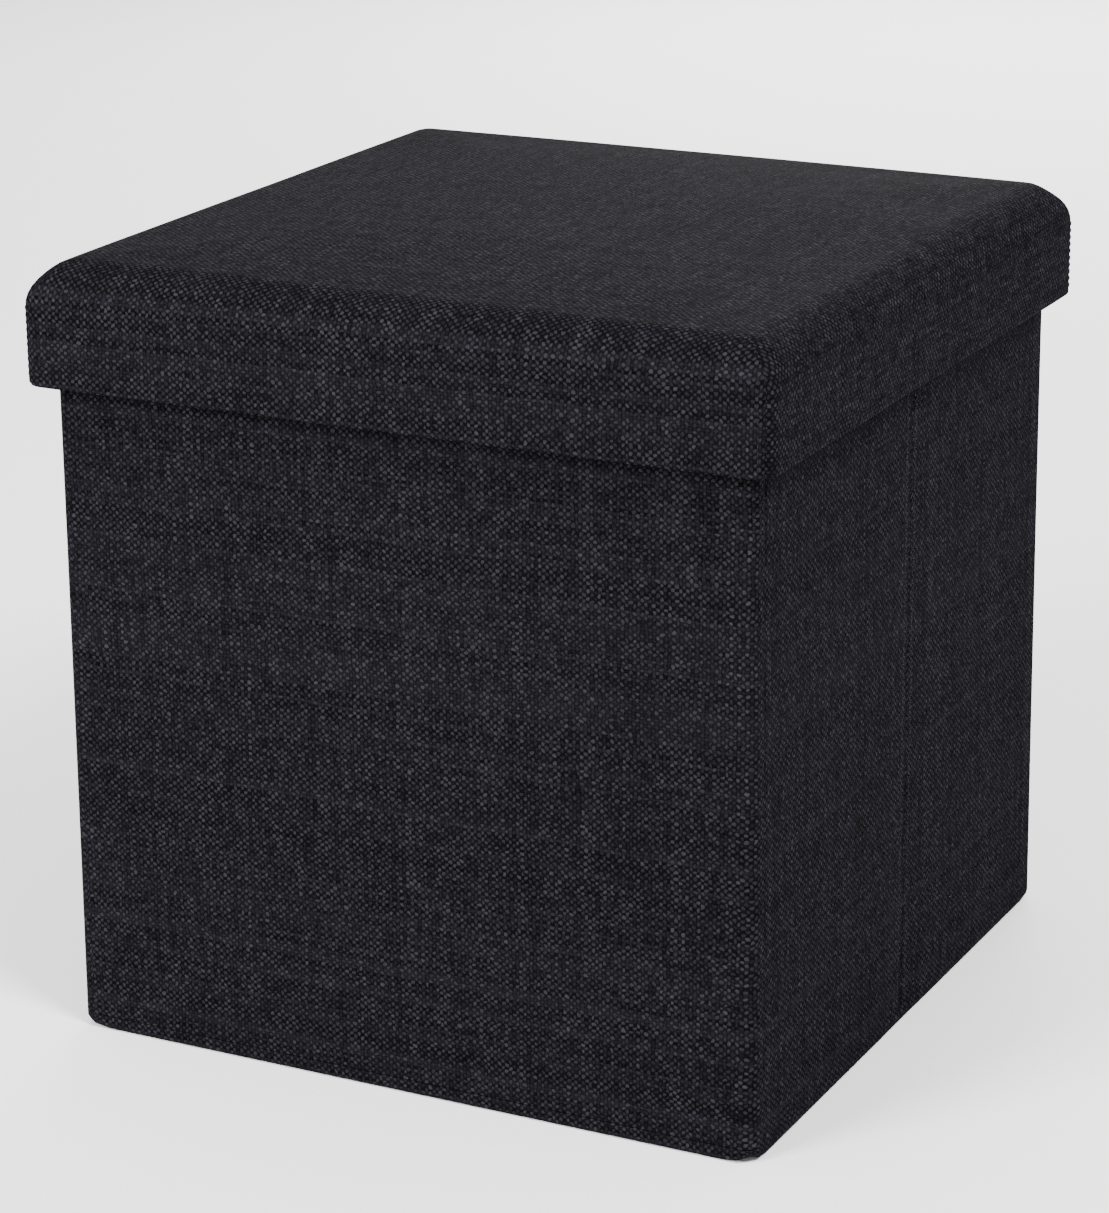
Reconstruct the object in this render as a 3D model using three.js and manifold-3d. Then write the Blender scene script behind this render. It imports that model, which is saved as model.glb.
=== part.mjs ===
// A collapsible storage ottoman: a fabric-covered box on fabric hinges, with a loose base board and a lift-off
// padded lid. Millimetres, +Z up. The origin is the middle of the underside, the front wall faces -Y, and the
// side walls at +X and -X each have an upright crease in the middle, where they fold inwards.
import * as THREE from "three";
import { mergeVertices } from "three/addons/utils/BufferGeometryUtils.js";
import Module from "manifold-3d";

// Driving dimensions.
const BOX_WIDTH = 358; // outside of the walls, along X
const BOX_DEPTH = 358; // outside of the walls, along Y
const WALL_FOOT = 7; // the wall panels start here, above the base board
const WALL_TOP = 350;
const LID_WIDTH = 380;
const LID_DEPTH = 380;
const LID_FOOT = 326; // lower edge of the lid's skirt
const LID_TOP = 384;
const LID_EDGE_RADIUS = 22; // rounding of the lid's upper edges
const LID_CORNER_RADIUS = 10; // rounding of the lid's upright corners

// Materials of the build, by thickness.
const FABRIC = 0.9; // woven outer fabric
const LINING = 0.6; // non-woven lining
const WALL_BOARD = 3.6;
const RIM_BOARD = 3.2;
const LID_BOARD = 5;
const BASE_CORNER_RADIUS = 11; // rounded corners of the loose base board
const END_BOARD_INSET = 4.5; // the end walls' boards stop here, short of the box's rounded upright edges
const RIBBON = 0.6;
const GAP = 0.3; // between pieces that touch on the real object
const WALL = FABRIC + GAP + WALL_BOARD + GAP + FABRIC; // whole wall, 6 mm

// The fabric hinges: room between panels for the strip of cloth that joins them.
const CORNER_GAP = 3;
const CREASE_GAP = 2;

// How far the outer fabric turns over onto the inside of a panel.
const TURN_OVER_TOP = 25;
const TURN_OVER_SIDE = 10;

// Pull ribbon on the base board.
const RIBBON_WIDTH = 25;
const RIBBON_LENGTH = 70;
const RIBBON_FROM_BACK = 22;

// Facets of the rounded lid.
const CORNER_STEPS = 6;
const EDGE_STEPS = 7;

const wasm = await Module();
wasm.setup();

const root = new THREE.Group();

// The colour, roughness and metalness of each kind of material.
const FINISHES = {
  wovenFabric: { color: 0x2b2a31, roughness: 0.95, metalness: 0 },
  lining: { color: 0x17171a, roughness: 0.9, metalness: 0 },
  board: { color: 0x8a7357, roughness: 0.85, metalness: 0 },
  foam: { color: 0xd9cfae, roughness: 0.95, metalness: 0 },
  ribbon: { color: 0x111114, roughness: 0.6, metalness: 0 },
};

function addMesh(parent, name, geometry, finish) {
  const mesh = new THREE.Mesh(geometry, new THREE.MeshStandardMaterial(FINISHES[finish]));
  mesh.name = name;
  parent.add(mesh);
  return mesh;
}

// A box between two opposite corners, each [x, y, z].
function boxBetween(low, high) {
  const size = high.map((value, i) => value - low[i]);
  const geometry = new THREE.BoxGeometry(...size);
  geometry.translate(low[0] + size[0] / 2, low[1] + size[1] / 2, low[2] + size[2] / 2);
  return geometry;
}

function toSolid(geometry) {
  const plain = geometry.clone();
  plain.deleteAttribute("normal");
  plain.deleteAttribute("uv");
  const merged = mergeVertices(plain);
  return new wasm.Manifold(
    new wasm.Mesh({
      numProp: 3,
      vertProperties: new Float32Array(merged.attributes.position.array),
      triVerts: new Uint32Array(merged.index.array),
    }),
  );
}

function toGeometry(solid) {
  const mesh = solid.getMesh();
  const geometry = new THREE.BufferGeometry();
  geometry.setAttribute("position", new THREE.BufferAttribute(mesh.vertProperties, 3));
  geometry.setIndex(new THREE.BufferAttribute(mesh.triVerts, 1));
  geometry.computeVertexNormals();
  return geometry;
}

function cut(geometry, ...tools) {
  const solid = tools.reduce((left, tool) => left.subtract(toSolid(tool)), toSolid(geometry));
  return toGeometry(solid);
}

// One level of a padded block: a rectangle with rounded corners, anticlockwise seen from above.
function roundedRing(halfWidth, halfDepth, radius, z) {
  const ring = [];
  for (let corner = 0; corner < 4; corner++) {
    const signX = corner === 0 || corner === 3 ? 1 : -1;
    const signY = corner < 2 ? 1 : -1;
    for (let step = 0; step <= CORNER_STEPS; step++) {
      const angle = (corner + step / CORNER_STEPS) * (Math.PI / 2);
      const x = signX * (halfWidth - radius) + radius * Math.cos(angle);
      const y = signY * (halfDepth - radius) + radius * Math.sin(angle);
      ring.push([x, y, z]);
    }
  }
  return ring;
}

// A closed solid through a stack of rings, with flat ends.
function loft(rings) {
  const count = rings[0].length;
  const positions = rings.flat(2);
  const faces = [];
  for (let level = 0; level + 1 < rings.length; level++) {
    for (let i = 0; i < count; i++) {
      const a = level * count + i;
      const b = level * count + ((i + 1) % count);
      faces.push(a, b, b + count, a, b + count, a + count);
    }
  }
  const top = (rings.length - 1) * count;
  for (let i = 1; i + 1 < count; i++) {
    faces.push(0, i + 1, i);
    faces.push(top, top + i, top + i + 1);
  }
  const geometry = new THREE.BufferGeometry();
  geometry.setAttribute("position", new THREE.BufferAttribute(new Float32Array(positions), 3));
  geometry.setIndex(faces);
  geometry.computeVertexNormals();
  return geometry;
}

// The lid's padded shape shrunk by an inset on all sides, between two heights, its upper edges rounded.
function paddedBlock(inset, low, high) {
  const halfWidth = LID_WIDTH / 2 - inset;
  const halfDepth = LID_DEPTH / 2 - inset;
  const corner = LID_CORNER_RADIUS - inset;
  const edge = LID_EDGE_RADIUS - inset;
  const rings = [roundedRing(halfWidth, halfDepth, corner, low)];
  for (let step = 0; step <= EDGE_STEPS; step++) {
    const angle = (step / EDGE_STEPS) * (Math.PI / 2);
    const pulledIn = edge * (1 - Math.cos(angle));
    const radius = corner + pulledIn * 0.5;
    rings.push(
      roundedRing(halfWidth - pulledIn, halfDepth - pulledIn, radius, high - edge * (1 - Math.sin(angle))),
    );
  }
  return loft(rings);
}

// A flat plate of the lid's outline, shrunk by an inset.
function lidPlate(inset, low, high) {
  const outline = [LID_WIDTH / 2 - inset, LID_DEPTH / 2 - inset, LID_CORNER_RADIUS - inset];
  return loft([roundedRing(...outline, low), roundedRing(...outline, high)]);
}

// A wall panel in its wall's own frame: X along the wall, Y inwards from the outer face, Z up. The outer fabric
// is a pocket round the board that turns over onto the inside, and the lining fills the window it leaves.
function addPanel(wall, name, from, to, boardInset = FABRIC + GAP) {
  const pocket = boxBetween([from, 0, WALL_FOOT], [to, WALL, WALL_TOP]);
  const inside = boxBetween(
    [from + FABRIC, FABRIC, WALL_FOOT + FABRIC],
    [to - FABRIC, WALL - FABRIC, WALL_TOP - FABRIC],
  );
  const windowLow = [from + TURN_OVER_SIDE, WALL / 2, WALL_FOOT + TURN_OVER_SIDE];
  const windowHigh = [to - TURN_OVER_SIDE, WALL + 1, WALL_TOP - TURN_OVER_TOP];
  addMesh(wall, name + "_cover", cut(pocket, inside, boxBetween(windowLow, windowHigh)), "wovenFabric");

  const skin = FABRIC + GAP;
  const board = boxBetween(
    [from + boardInset, skin, WALL_FOOT + skin],
    [to - boardInset, skin + WALL_BOARD, WALL_TOP - skin],
  );
  addMesh(wall, name + "_board", board, "board");

  const liningFrom = skin + WALL_BOARD + GAP;
  const lining = boxBetween(
    [windowLow[0] + GAP, liningFrom, windowLow[2] + GAP],
    [windowHigh[0] - GAP, liningFrom + LINING, windowHigh[2] - GAP],
  );
  addMesh(wall, name + "_lining", lining, "lining");
}

// A strip of fabric that joins two panels, in the wall's own frame.
function addHingeStrip(wall, name, from, to) {
  addMesh(wall, name, boxBetween([from, 0, WALL_FOOT], [to, FABRIC, WALL_TOP]), "wovenFabric");
}

function addWall(x, y, turn) {
  const wall = new THREE.Group();
  wall.position.set(x, y, 0);
  wall.rotation.z = turn;
  root.add(wall);
  return wall;
}

// The front and back walls run the full width, over the ends of the side walls.
function addEndWall(name, side, turn) {
  const wall = addWall(0, (side * BOX_DEPTH) / 2, turn);
  addPanel(wall, name, -BOX_WIDTH / 2, BOX_WIDTH / 2, END_BOARD_INSET);
}

// A side wall: two halves, the crease between them and a hinge strip at each end.
// In its own frame +X runs towards the wall named first in ends.
function addSideWall(name, side, turn, ends) {
  const wall = addWall((side * BOX_WIDTH) / 2, 0, turn);
  const corner = BOX_DEPTH / 2 - WALL;
  const crease = CREASE_GAP / 2;
  addPanel(wall, `${name}_${ends[0]}_half`, crease, corner - CORNER_GAP);
  addPanel(wall, `${name}_${ends[1]}_half`, CORNER_GAP - corner, -crease);
  addHingeStrip(wall, `${name}_crease_hinge`, GAP - crease, crease - GAP);
  addHingeStrip(wall, `${name}_${ends[0]}_corner_hinge`, corner - CORNER_GAP + GAP, corner - GAP);
  addHingeStrip(wall, `${name}_${ends[1]}_corner_hinge`, GAP - corner, CORNER_GAP - corner - GAP);
}

// A level plate with rounded corners.
function basePlate(halfWidth, halfDepth, low, high) {
  const outline = [halfWidth, halfDepth, BASE_CORNER_RADIUS];
  return loft([roundedRing(...outline, low), roundedRing(...outline, high)]);
}

// The cloth under the box, the hem round its foot, and the loose board with its lining and pull ribbon.
function addBase() {
  const halfWidth = BOX_WIDTH / 2;
  const halfDepth = BOX_DEPTH / 2;
  const clothTop = FABRIC;
  addMesh(
    root,
    "bottom_cloth",
    boxBetween([-halfWidth, -halfDepth, 0], [halfWidth, halfDepth, clothTop]),
    "lining",
  );

  const hemLow = clothTop + GAP;
  const hemHigh = WALL_FOOT - GAP;
  const band = boxBetween([-halfWidth, -halfDepth, hemLow], [halfWidth, halfDepth, hemHigh]);
  const insideX = halfWidth - FABRIC;
  const insideY = halfDepth - FABRIC;
  const hole = boxBetween([-insideX, -insideY, hemLow - 1], [insideX, insideY, hemHigh + 1]);
  addMesh(root, "bottom_hem", cut(band, hole), "wovenFabric");

  const boardX = insideX - GAP;
  const boardY = insideY - GAP;
  const boardTop = hemLow + WALL_BOARD;
  addMesh(root, "base_board", basePlate(boardX, boardY, hemLow, boardTop), "board");

  const liningLow = boardTop + GAP;
  const liningHigh = liningLow + LINING;
  addMesh(root, "base_lining", basePlate(boardX, boardY, liningLow, liningHigh), "lining");
  addPullRibbon(liningHigh + GAP);
}

// A flat loop of ribbon that lies on the base board, its round end towards the middle.
function addPullRibbon(z) {
  const radius = RIBBON_WIDTH / 2;
  const straight = RIBBON_LENGTH - radius;
  const outline = new THREE.Shape();
  outline.moveTo(-radius, 0);
  outline.lineTo(-radius, -straight);
  outline.absarc(0, -straight, radius, Math.PI, 2 * Math.PI, false);
  outline.lineTo(radius, 0);
  outline.closePath();
  const ribbon = new THREE.ExtrudeGeometry(outline, { depth: RIBBON, bevelEnabled: false, curveSegments: 12 });
  const mesh = addMesh(root, "pull_ribbon", ribbon, "ribbon");
  mesh.position.set(0, BOX_DEPTH / 2 - WALL - RIBBON_FROM_BACK, z);
}

// The lid: a board with rim boards under its edges and a foam pad on top, in one cover.
function addLid() {
  const lid = new THREE.Group();
  root.add(lid);
  const skin = FABRIC + GAP;
  const rimFoot = LID_FOOT + skin;
  const boardLow = WALL_TOP + GAP + LINING + GAP;
  const boardHigh = boardLow + LID_BOARD;
  addMesh(lid, "lid_board", lidPlate(skin, boardLow, boardHigh), "board");
  addMesh(lid, "lid_foam", paddedBlock(skin, boardHigh + GAP, LID_TOP - skin), "foam");

  const rimOuterX = LID_WIDTH / 2 - skin;
  const rimOuterY = LID_DEPTH / 2 - skin;
  const rimEnd = LID_CORNER_RADIUS + GAP; // the rim boards stop short of the rounded corners
  const rimHalfX = LID_WIDTH / 2 - rimEnd;
  const rimHalfY = LID_DEPTH / 2 - rimEnd;
  const rimTop = boardLow - GAP;
  const rims = {
    front: [[-rimHalfX, -rimOuterY], [rimHalfX, -rimOuterY + RIM_BOARD]],
    back: [[-rimHalfX, rimOuterY - RIM_BOARD], [rimHalfX, rimOuterY]],
    left: [[-rimOuterX, -rimHalfY], [-rimOuterX + RIM_BOARD, rimHalfY]],
    right: [[rimOuterX - RIM_BOARD, -rimHalfY], [rimOuterX, rimHalfY]],
  };
  for (const [side, [low, high]] of Object.entries(rims)) {
    addMesh(lid, "lid_rim_" + side, boxBetween([...low, rimFoot], [...high, rimTop]), "board");
  }

  const liningX = rimOuterX - RIM_BOARD - GAP;
  const liningY = rimOuterY - RIM_BOARD - GAP;
  const mouthX = liningX - LINING;
  const mouthY = liningY - LINING;
  const tray = boxBetween([-liningX, -liningY, rimFoot], [liningX, liningY, rimTop]);
  const hollow = boxBetween([-mouthX, -mouthY, rimFoot - 1], [mouthX, mouthY, rimTop - LINING]);
  addMesh(lid, "lid_lining", cut(tray, hollow), "lining");

  const inside = paddedBlock(FABRIC, LID_FOOT + FABRIC, LID_TOP - FABRIC);
  const mouth = boxBetween([-mouthX, -mouthY, LID_FOOT - 1], [mouthX, mouthY, LID_FOOT + 2 * FABRIC]);
  addMesh(lid, "lid_cover", cut(paddedBlock(0, LID_FOOT, LID_TOP), inside, mouth), "wovenFabric");
}

addEndWall("front", -1, 0);
addEndWall("back", 1, Math.PI);
addSideWall("right", 1, Math.PI / 2, ["rear", "front"]);
addSideWall("left", -1, -Math.PI / 2, ["front", "rear"]);
addBase();
addLid();

export default root;
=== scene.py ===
"""Looks of the collapsible storage ottoman: its woven covers, linings, boards, foam and stitching."""

from __future__ import annotations

import logging
import math
from dataclasses import dataclass, field
from enum import Enum
from typing import Callable, Sequence

import bmesh
import bpy
import numpy as np
from mathutils import Matrix, Vector, noise


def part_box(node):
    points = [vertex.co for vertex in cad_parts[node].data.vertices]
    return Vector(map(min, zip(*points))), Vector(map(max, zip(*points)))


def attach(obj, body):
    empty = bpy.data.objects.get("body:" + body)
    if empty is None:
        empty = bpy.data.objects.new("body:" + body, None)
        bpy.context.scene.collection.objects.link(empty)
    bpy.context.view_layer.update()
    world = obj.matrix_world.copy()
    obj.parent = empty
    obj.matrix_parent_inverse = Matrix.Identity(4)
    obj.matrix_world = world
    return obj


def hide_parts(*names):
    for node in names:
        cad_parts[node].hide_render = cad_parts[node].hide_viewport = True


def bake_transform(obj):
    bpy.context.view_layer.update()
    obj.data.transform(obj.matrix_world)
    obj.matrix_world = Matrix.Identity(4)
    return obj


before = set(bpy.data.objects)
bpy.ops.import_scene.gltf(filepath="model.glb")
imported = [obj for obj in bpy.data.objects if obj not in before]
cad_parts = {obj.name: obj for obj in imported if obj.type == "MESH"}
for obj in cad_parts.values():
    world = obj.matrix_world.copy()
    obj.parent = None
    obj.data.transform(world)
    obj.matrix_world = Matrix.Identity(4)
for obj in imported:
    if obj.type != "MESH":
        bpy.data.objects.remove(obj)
log = logging.getLogger("ottoman")

Piece = bpy.types.Object
Material = bpy.types.Material
Point = Sequence[float]
Place = tuple[float, float]  # on the flat cloth, in metres
Spot = tuple[float, float, float, float]  # (along, inward, outward normal along, outward normal inward)

MM = 0.001
CLOTH = "cloth"  # face-corner attribute: where a point lies on the flat cloth, in metres
CLOTH_FRAMES = 20  # frames that the padding is left to swell for


class Slot(Enum):
    """Material slots of the record."""

    FABRIC = "woven_fabric"
    LINING = "lining"
    BOARD = "panel_board"
    FOAM = "foam"
    RIBBON = "ribbon"


END_RADIUS = 5.6 * MM  # rounding of the box's upright edges
BUTT_RADIUS = 0.35 * MM  # rounding of a side panel's edge at the box's corner
CREASE_RADIUS = 0.9 * MM  # rounding of a side panel's edge at the crease
CREASE_STITCH = 3.9 * MM  # from a panel's end to the middle of the zigzag row beside the crease
FLARE = 1.8 * MM  # how far the box's outer faces spread at their foot
FLARE_SHARE = 0.9  # share of the height that spreads
FLARE_POWER = 1.3  # how much of the spread is near the foot
CREASE_FADE = (2 * MM, 34 * MM)  # the spread grows from none to all of it over these distances from a crease


def flare_at(along: float, up: float, creased: bool) -> float:
    """How far an outer face stands out at a height, less beside a crease.

    Args:
        along: Distance from the middle of the side, in metres.
        up: Height, in metres.
        creased: Whether the side has a crease in its middle.

    Returns:
        Distance outwards, in metres.
    """
    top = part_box("front_cover")[1].z
    rise = max(0.0, 1.0 - up / (FLARE_SHARE * top))
    beside = smoothstep(*CREASE_FADE, abs(along)) if creased else 1.0
    return FLARE * rise**FLARE_POWER * beside


# ------------------------------------------------------------------------------
# Shader graphs
# ------------------------------------------------------------------------------


class Value:
    """A number that changes over the surface: a socket whose operators add Math nodes."""

    def __init__(self, graph: "Graph", socket: bpy.types.NodeSocket) -> None:
        """Wraps a socket of a graph."""
        self.graph = graph
        self.socket = socket

    def __add__(self, other: "Value | float") -> "Value":
        """Sum."""
        return self.graph.math("ADD", self, other)

    def __sub__(self, other: "Value | float") -> "Value":
        """Difference."""
        return self.graph.math("SUBTRACT", self, other)

    def __mul__(self, other: "Value | float") -> "Value":
        """Product."""
        return self.graph.math("MULTIPLY", self, other)

    def __truediv__(self, other: "Value | float") -> "Value":
        """Quotient."""
        return self.graph.math("DIVIDE", self, other)

    def __pow__(self, other: "Value | float") -> "Value":
        """Power."""
        return self.graph.math("POWER", self, other)

    def __radd__(self, other: float) -> "Value":
        """Sum with a plain number on the left."""
        return self.graph.math("ADD", other, self)

    def __rsub__(self, other: float) -> "Value":
        """Difference from a plain number."""
        return self.graph.math("SUBTRACT", other, self)

    def __rmul__(self, other: float) -> "Value":
        """Product with a plain number on the left."""
        return self.graph.math("MULTIPLY", other, self)


Source = Value | bpy.types.NodeSocket | float | Sequence[float]


class Graph:
    """The node tree of one material, with a Principled shader at its end."""

    def __init__(self, name: str) -> None:
        """Makes an empty material.

        Args:
            name: Name of the material.
        """
        self.material = bpy.data.materials.new(name)
        self.material.use_nodes = True
        self.tree = self.material.node_tree
        self.tree.nodes.clear()
        self.shader = self.node("ShaderNodeBsdfPrincipled")
        self.node("ShaderNodeOutputMaterial", inputs={"Surface": self.shader.outputs["BSDF"]})

    def node(
        self,
        kind: str,
        settings: dict[str, object] | None = None,
        inputs: dict[str | int, Source] | None = None,
    ) -> bpy.types.Node:
        """Adds a node.

        Args:
            kind: Node type.
            settings: Properties of the node, set before its sockets.
            inputs: Values or links, by socket name or number.

        Returns:
            The node.
        """
        made = self.tree.nodes.new(kind)
        for key, value in (settings or {}).items():
            setattr(made, key, value)
        for key, value in (inputs or {}).items():
            self.feed(made.inputs[key], value)
        return made

    def feed(self, socket: bpy.types.NodeSocket, value: Source) -> None:
        """Links a source to a socket, or sets its value.

        Args:
            socket: Socket to feed.
            value: A link, a number or a colour.
        """
        if isinstance(value, Value):
            self.tree.links.new(value.socket, socket)
        elif isinstance(value, bpy.types.NodeSocket):
            self.tree.links.new(value, socket)
        else:
            socket.default_value = value

    def math(self, operation: str, *terms: Value | float) -> Value:
        """Adds a Math node.

        Args:
            operation: Name of the Math node's operation.
            terms: Its inputs.

        Returns:
            Its result.
        """
        made = self.node("ShaderNodeMath", {"operation": operation}, dict(enumerate(terms)))
        return Value(self, made.outputs[0])

    def smooth(self, value: Value, low: float, high: float) -> Value:
        """0 below low, 1 above high, and smooth between them.

        Args:
            value: The changing number.
            low: Where it starts to rise.
            high: Where it reaches 1.

        Returns:
            The share, from 0 to 1.
        """
        made = self.node(
            "ShaderNodeMapRange",
            {"interpolation_type": "SMOOTHSTEP"},
            {"Value": value, "From Min": low, "From Max": high},
        )
        return Value(self, made.outputs["Result"])

    def vector(self, x: Value | float, y: Value | float, z: Value | float = 0.0) -> bpy.types.NodeSocket:
        """A vector from three numbers."""
        return self.node("ShaderNodeCombineXYZ", inputs={0: x, 1: y, 2: z}).outputs[0]

    def noise(self, where: bpy.types.NodeSocket, scale: float, detail: float = 2.0) -> Value:
        """Fractal noise from 0 to 1 at a place.

        Args:
            where: The place.
            scale: Swellings in a metre.
            detail: Finer layers added.

        Returns:
            The noise, from 0 to 1.
        """
        made = self.node(
            "ShaderNodeTexNoise", inputs={"Vector": where, "Scale": scale, "Detail": detail, "Roughness": 0.55}
        )
        return Value(self, made.outputs["Fac"])

    def random(self, where: bpy.types.NodeSocket) -> Value:
        """White noise from 0 to 1, the same wherever the place is the same."""
        return Value(self, self.node("ShaderNodeTexWhiteNoise", inputs={"Vector": where}).outputs["Value"])

    def blend(self, factor: Value | float, low: Source, high: Source) -> bpy.types.NodeSocket:
        """Mixes two colours."""
        made = self.node("ShaderNodeMix", {"data_type": "RGBA"}, {0: factor, 6: low, 7: high})
        return made.outputs[2]

    def scaled(self, colour: Source, factor: Value) -> bpy.types.NodeSocket:
        """A colour times a number."""
        made = self.node("ShaderNodeVectorMath", {"operation": "SCALE"}, {0: colour, "Scale": factor})
        return made.outputs[0]

    def cloth(self) -> tuple[Value, Value]:
        """The place on the flat cloth, in metres.

        Returns:
            Place round the box or across the lid, and place up it.
        """
        place = self.node("ShaderNodeAttribute", {"attribute_name": CLOTH}).outputs["Vector"]
        split = self.node("ShaderNodeSeparateXYZ", inputs={0: place})
        return Value(self, split.outputs[0]), Value(self, split.outputs[1])

    def object_place(self) -> bpy.types.NodeSocket:
        """The place in the piece's own frame, in metres."""
        return self.node("ShaderNodeTexCoord").outputs["Object"]

    def finish(self, colour: Source, roughness: Source, height: Value, depth: float, **fixed: Source) -> None:
        """Feeds the shader.

        Args:
            colour: Base colour.
            roughness: Roughness.
            height: Relief, from 0 to 1.
            depth: Height of that relief, in metres.
            fixed: Other sockets that stay the same all over, by name with underscores.
        """
        bump = self.node("ShaderNodeBump", inputs={"Strength": 1.0, "Distance": depth, "Height": height})
        self.feed(self.shader.inputs["Base Color"], colour)
        self.feed(self.shader.inputs["Roughness"], roughness)
        self.feed(self.shader.inputs["Normal"], bump.outputs["Normal"])
        for name, value in fixed.items():
            self.shader.inputs[name.replace("_", " ")].default_value = value


# ------------------------------------------------------------------------------
# Finishes
# ------------------------------------------------------------------------------


@dataclass(frozen=True)
class LinenWeave:
    """Plain weave of a light warp and a dark weft, with thick and thin stretches of yarn."""

    name: str = "linen_weave"
    warp_pitch: float = 1.88 * MM
    weft_pitch: float = 1.63 * MM
    light: tuple[float, float, float] = (0.0143, 0.0132, 0.0166)
    dark: tuple[float, float, float] = (0.0034, 0.0031, 0.0040)
    relief: float = 0.30 * MM

    def build(self) -> Material:
        """Makes the material.

        Returns:
            The finished material.
        """
        g = Graph(self.name)
        u, v = g.cloth()
        where = g.vector(u, v)
        drift_u = (g.noise(where, 22.0, 1.0) - 0.5) * 1.6
        drift_u = drift_u + (g.noise(g.vector(u, v, 0.4), 310.0, 1.0) - 0.5) * 1.3
        drift_v = (g.noise(g.vector(v, u, 3.7), 26.0, 1.0) - 0.5) * 1.6
        drift_v = drift_v + (g.noise(g.vector(v, u, 0.9), 290.0, 1.0) - 0.5) * 1.3
        lead = (g.noise(g.vector(u, v, 0.2), 55.0, 2.0) - 0.5) * 1.1
        across = u / self.warp_pitch + drift_u
        along = v / self.weft_pitch + drift_v
        warp, weft = g.math("FLOOR", across), g.math("FLOOR", along)
        from_warp, from_weft = across - warp - 0.5, along - weft - 0.5

        warp_slub = g.noise(g.vector(warp * 7.31, v * 0.9, 1.0), 70.0, 2.0)
        weft_slub = g.noise(g.vector(weft * 5.77, u * 0.9, 9.0), 60.0, 2.0)
        warp_half = 0.35 + (warp_slub - 0.5) * 0.30 + g.random(g.vector(warp, 6.0)) * 0.12
        weft_half = 0.32 + (weft_slub - 0.5) * 0.36 + g.random(g.vector(weft, 7.0)) * 0.12

        warp_wave = g.math("COSINE", (along - 0.5 + warp) * math.pi)
        weft_wave = g.math("COSINE", (across - 0.5 + weft) * math.pi) * -1.0
        warp_high = self._yarn(g, from_warp, warp_half) + warp_wave * 0.5
        weft_high = self._yarn(g, from_weft, weft_half) + weft_wave * 0.5
        on_top = g.smooth(warp_high - weft_high + lead, -0.32, 0.10)
        height = g.math("MAXIMUM", warp_high, weft_high) * 0.5 + 0.25

        fibre = g.noise(g.vector(u, v * 0.25, 2.0), 5200.0, 1.0)
        warp_tone = 0.55 + g.random(g.vector(warp, 4.0)) * 0.30 + (warp_slub - 0.5) * 1.4 + fibre * 0.35
        weft_tone = 0.50 + g.random(g.vector(weft, 8.0)) ** 2.0 * 1.4 + (weft_slub - 0.5) * 1.2 + fibre * 0.25
        cell = g.random(g.vector(warp, weft, 5.0)) * 0.9 + 0.55
        mottle = 0.92 + g.noise(where, 9.0, 3.0) * 0.16
        shade = g.smooth(height, 0.15, 0.74) * 0.90 + 0.10
        light = g.scaled(self.light, g.math("MAXIMUM", warp_tone, 0.15) * shade * mottle * cell)
        dark = g.scaled(self.dark, g.math("MAXIMUM", weft_tone, 0.15) * shade * mottle)
        g.finish(
            g.blend(on_top, dark, light),
            0.80 + fibre * 0.15,
            height,
            self.relief,
            Specular_IOR_Level=0.01,
        )
        return g.material

    @staticmethod
    def _yarn(g: Graph, offset: Value, half: Value) -> Value:
        """Round section of a yarn: its height at an offset from its middle, in units of its pitch."""
        share = offset / half
        return g.math("SQRT", g.math("MAXIMUM", 1.0 - share * share, 0.0)) * 0.5


@dataclass(frozen=True)
class Nonwoven:
    """Thin bonded cloth with a grid of pressed dimples."""

    name: str = "nonwoven_lining"
    pitch: float = 1.6 * MM
    colour: tuple[float, float, float] = (0.0085, 0.0083, 0.0092)

    def build(self) -> Material:
        """Makes the material.

        Returns:
            The finished material.
        """
        g = Graph(self.name)
        u, v = g.cloth()
        where = g.vector(u, v)
        row = g.math("FLOOR", v / self.pitch)
        stagger = g.math("MODULO", row, 2.0) * 0.5
        x = g.math("FRACT", u / self.pitch + stagger) - 0.5
        y = g.math("FRACT", v / self.pitch) - 0.5
        radius = g.math("SQRT", x * x + y * y * 1.7)
        raised = g.smooth(radius, 0.18, 0.34)
        fibres = g.noise(where, 900.0, 4.0)
        cloud = g.noise(where, 30.0, 3.0)
        colour = g.scaled(self.colour, (0.55 + raised * 0.35) + fibres * 0.5 + cloud * 0.35)
        g.finish(colour, 0.66 + fibres * 0.2, raised * 0.7 + fibres * 0.3, 0.18 * MM, Specular_IOR_Level=0.12)
        return g.material


@dataclass(frozen=True)
class Fibreboard:
    """Raw board of pressed fibres."""

    name: str = "fibreboard"
    colour: tuple[float, float, float] = (0.27, 0.175, 0.095)
    fleck: tuple[float, float, float] = (0.10, 0.06, 0.03)

    def build(self) -> Material:
        """Makes the material.

        Returns:
            The finished material.
        """
        g = Graph(self.name)
        where = g.object_place()
        fibres = g.noise(where, 700.0, 5.0)
        cloud = g.noise(where, 14.0, 3.0)
        flecks = g.smooth(g.noise(where, 320.0, 2.0), 0.62, 0.72)
        ground = g.scaled(self.colour, 0.6 + fibres * 0.5 + cloud * 0.3)
        colour = g.blend(flecks * 0.5, ground, (*self.fleck, 1))
        g.finish(colour, 0.75 + fibres * 0.15, fibres, 0.12 * MM)
        return g.material


@dataclass(frozen=True)
class SeatFoam:
    """Open-cell foam."""

    name: str = "seat_foam"
    colour: tuple[float, float, float] = (0.66, 0.58, 0.36)

    def build(self) -> Material:
        """Makes the material.

        Returns:
            The finished material.
        """
        g = Graph(self.name)
        where = g.object_place()
        cells = g.node("ShaderNodeTexVoronoi", inputs={"Vector": where, "Scale": 900.0})
        wall = g.smooth(Value(g, cells.outputs["Distance"]), 0.1, 0.6)
        cloud = g.noise(where, 12.0, 3.0)
        g.finish(g.scaled(self.colour, 0.7 + wall * 0.3 + cloud * 0.15), 0.9 + cloud * 0.05, wall, 0.3 * MM)
        return g.material


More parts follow.
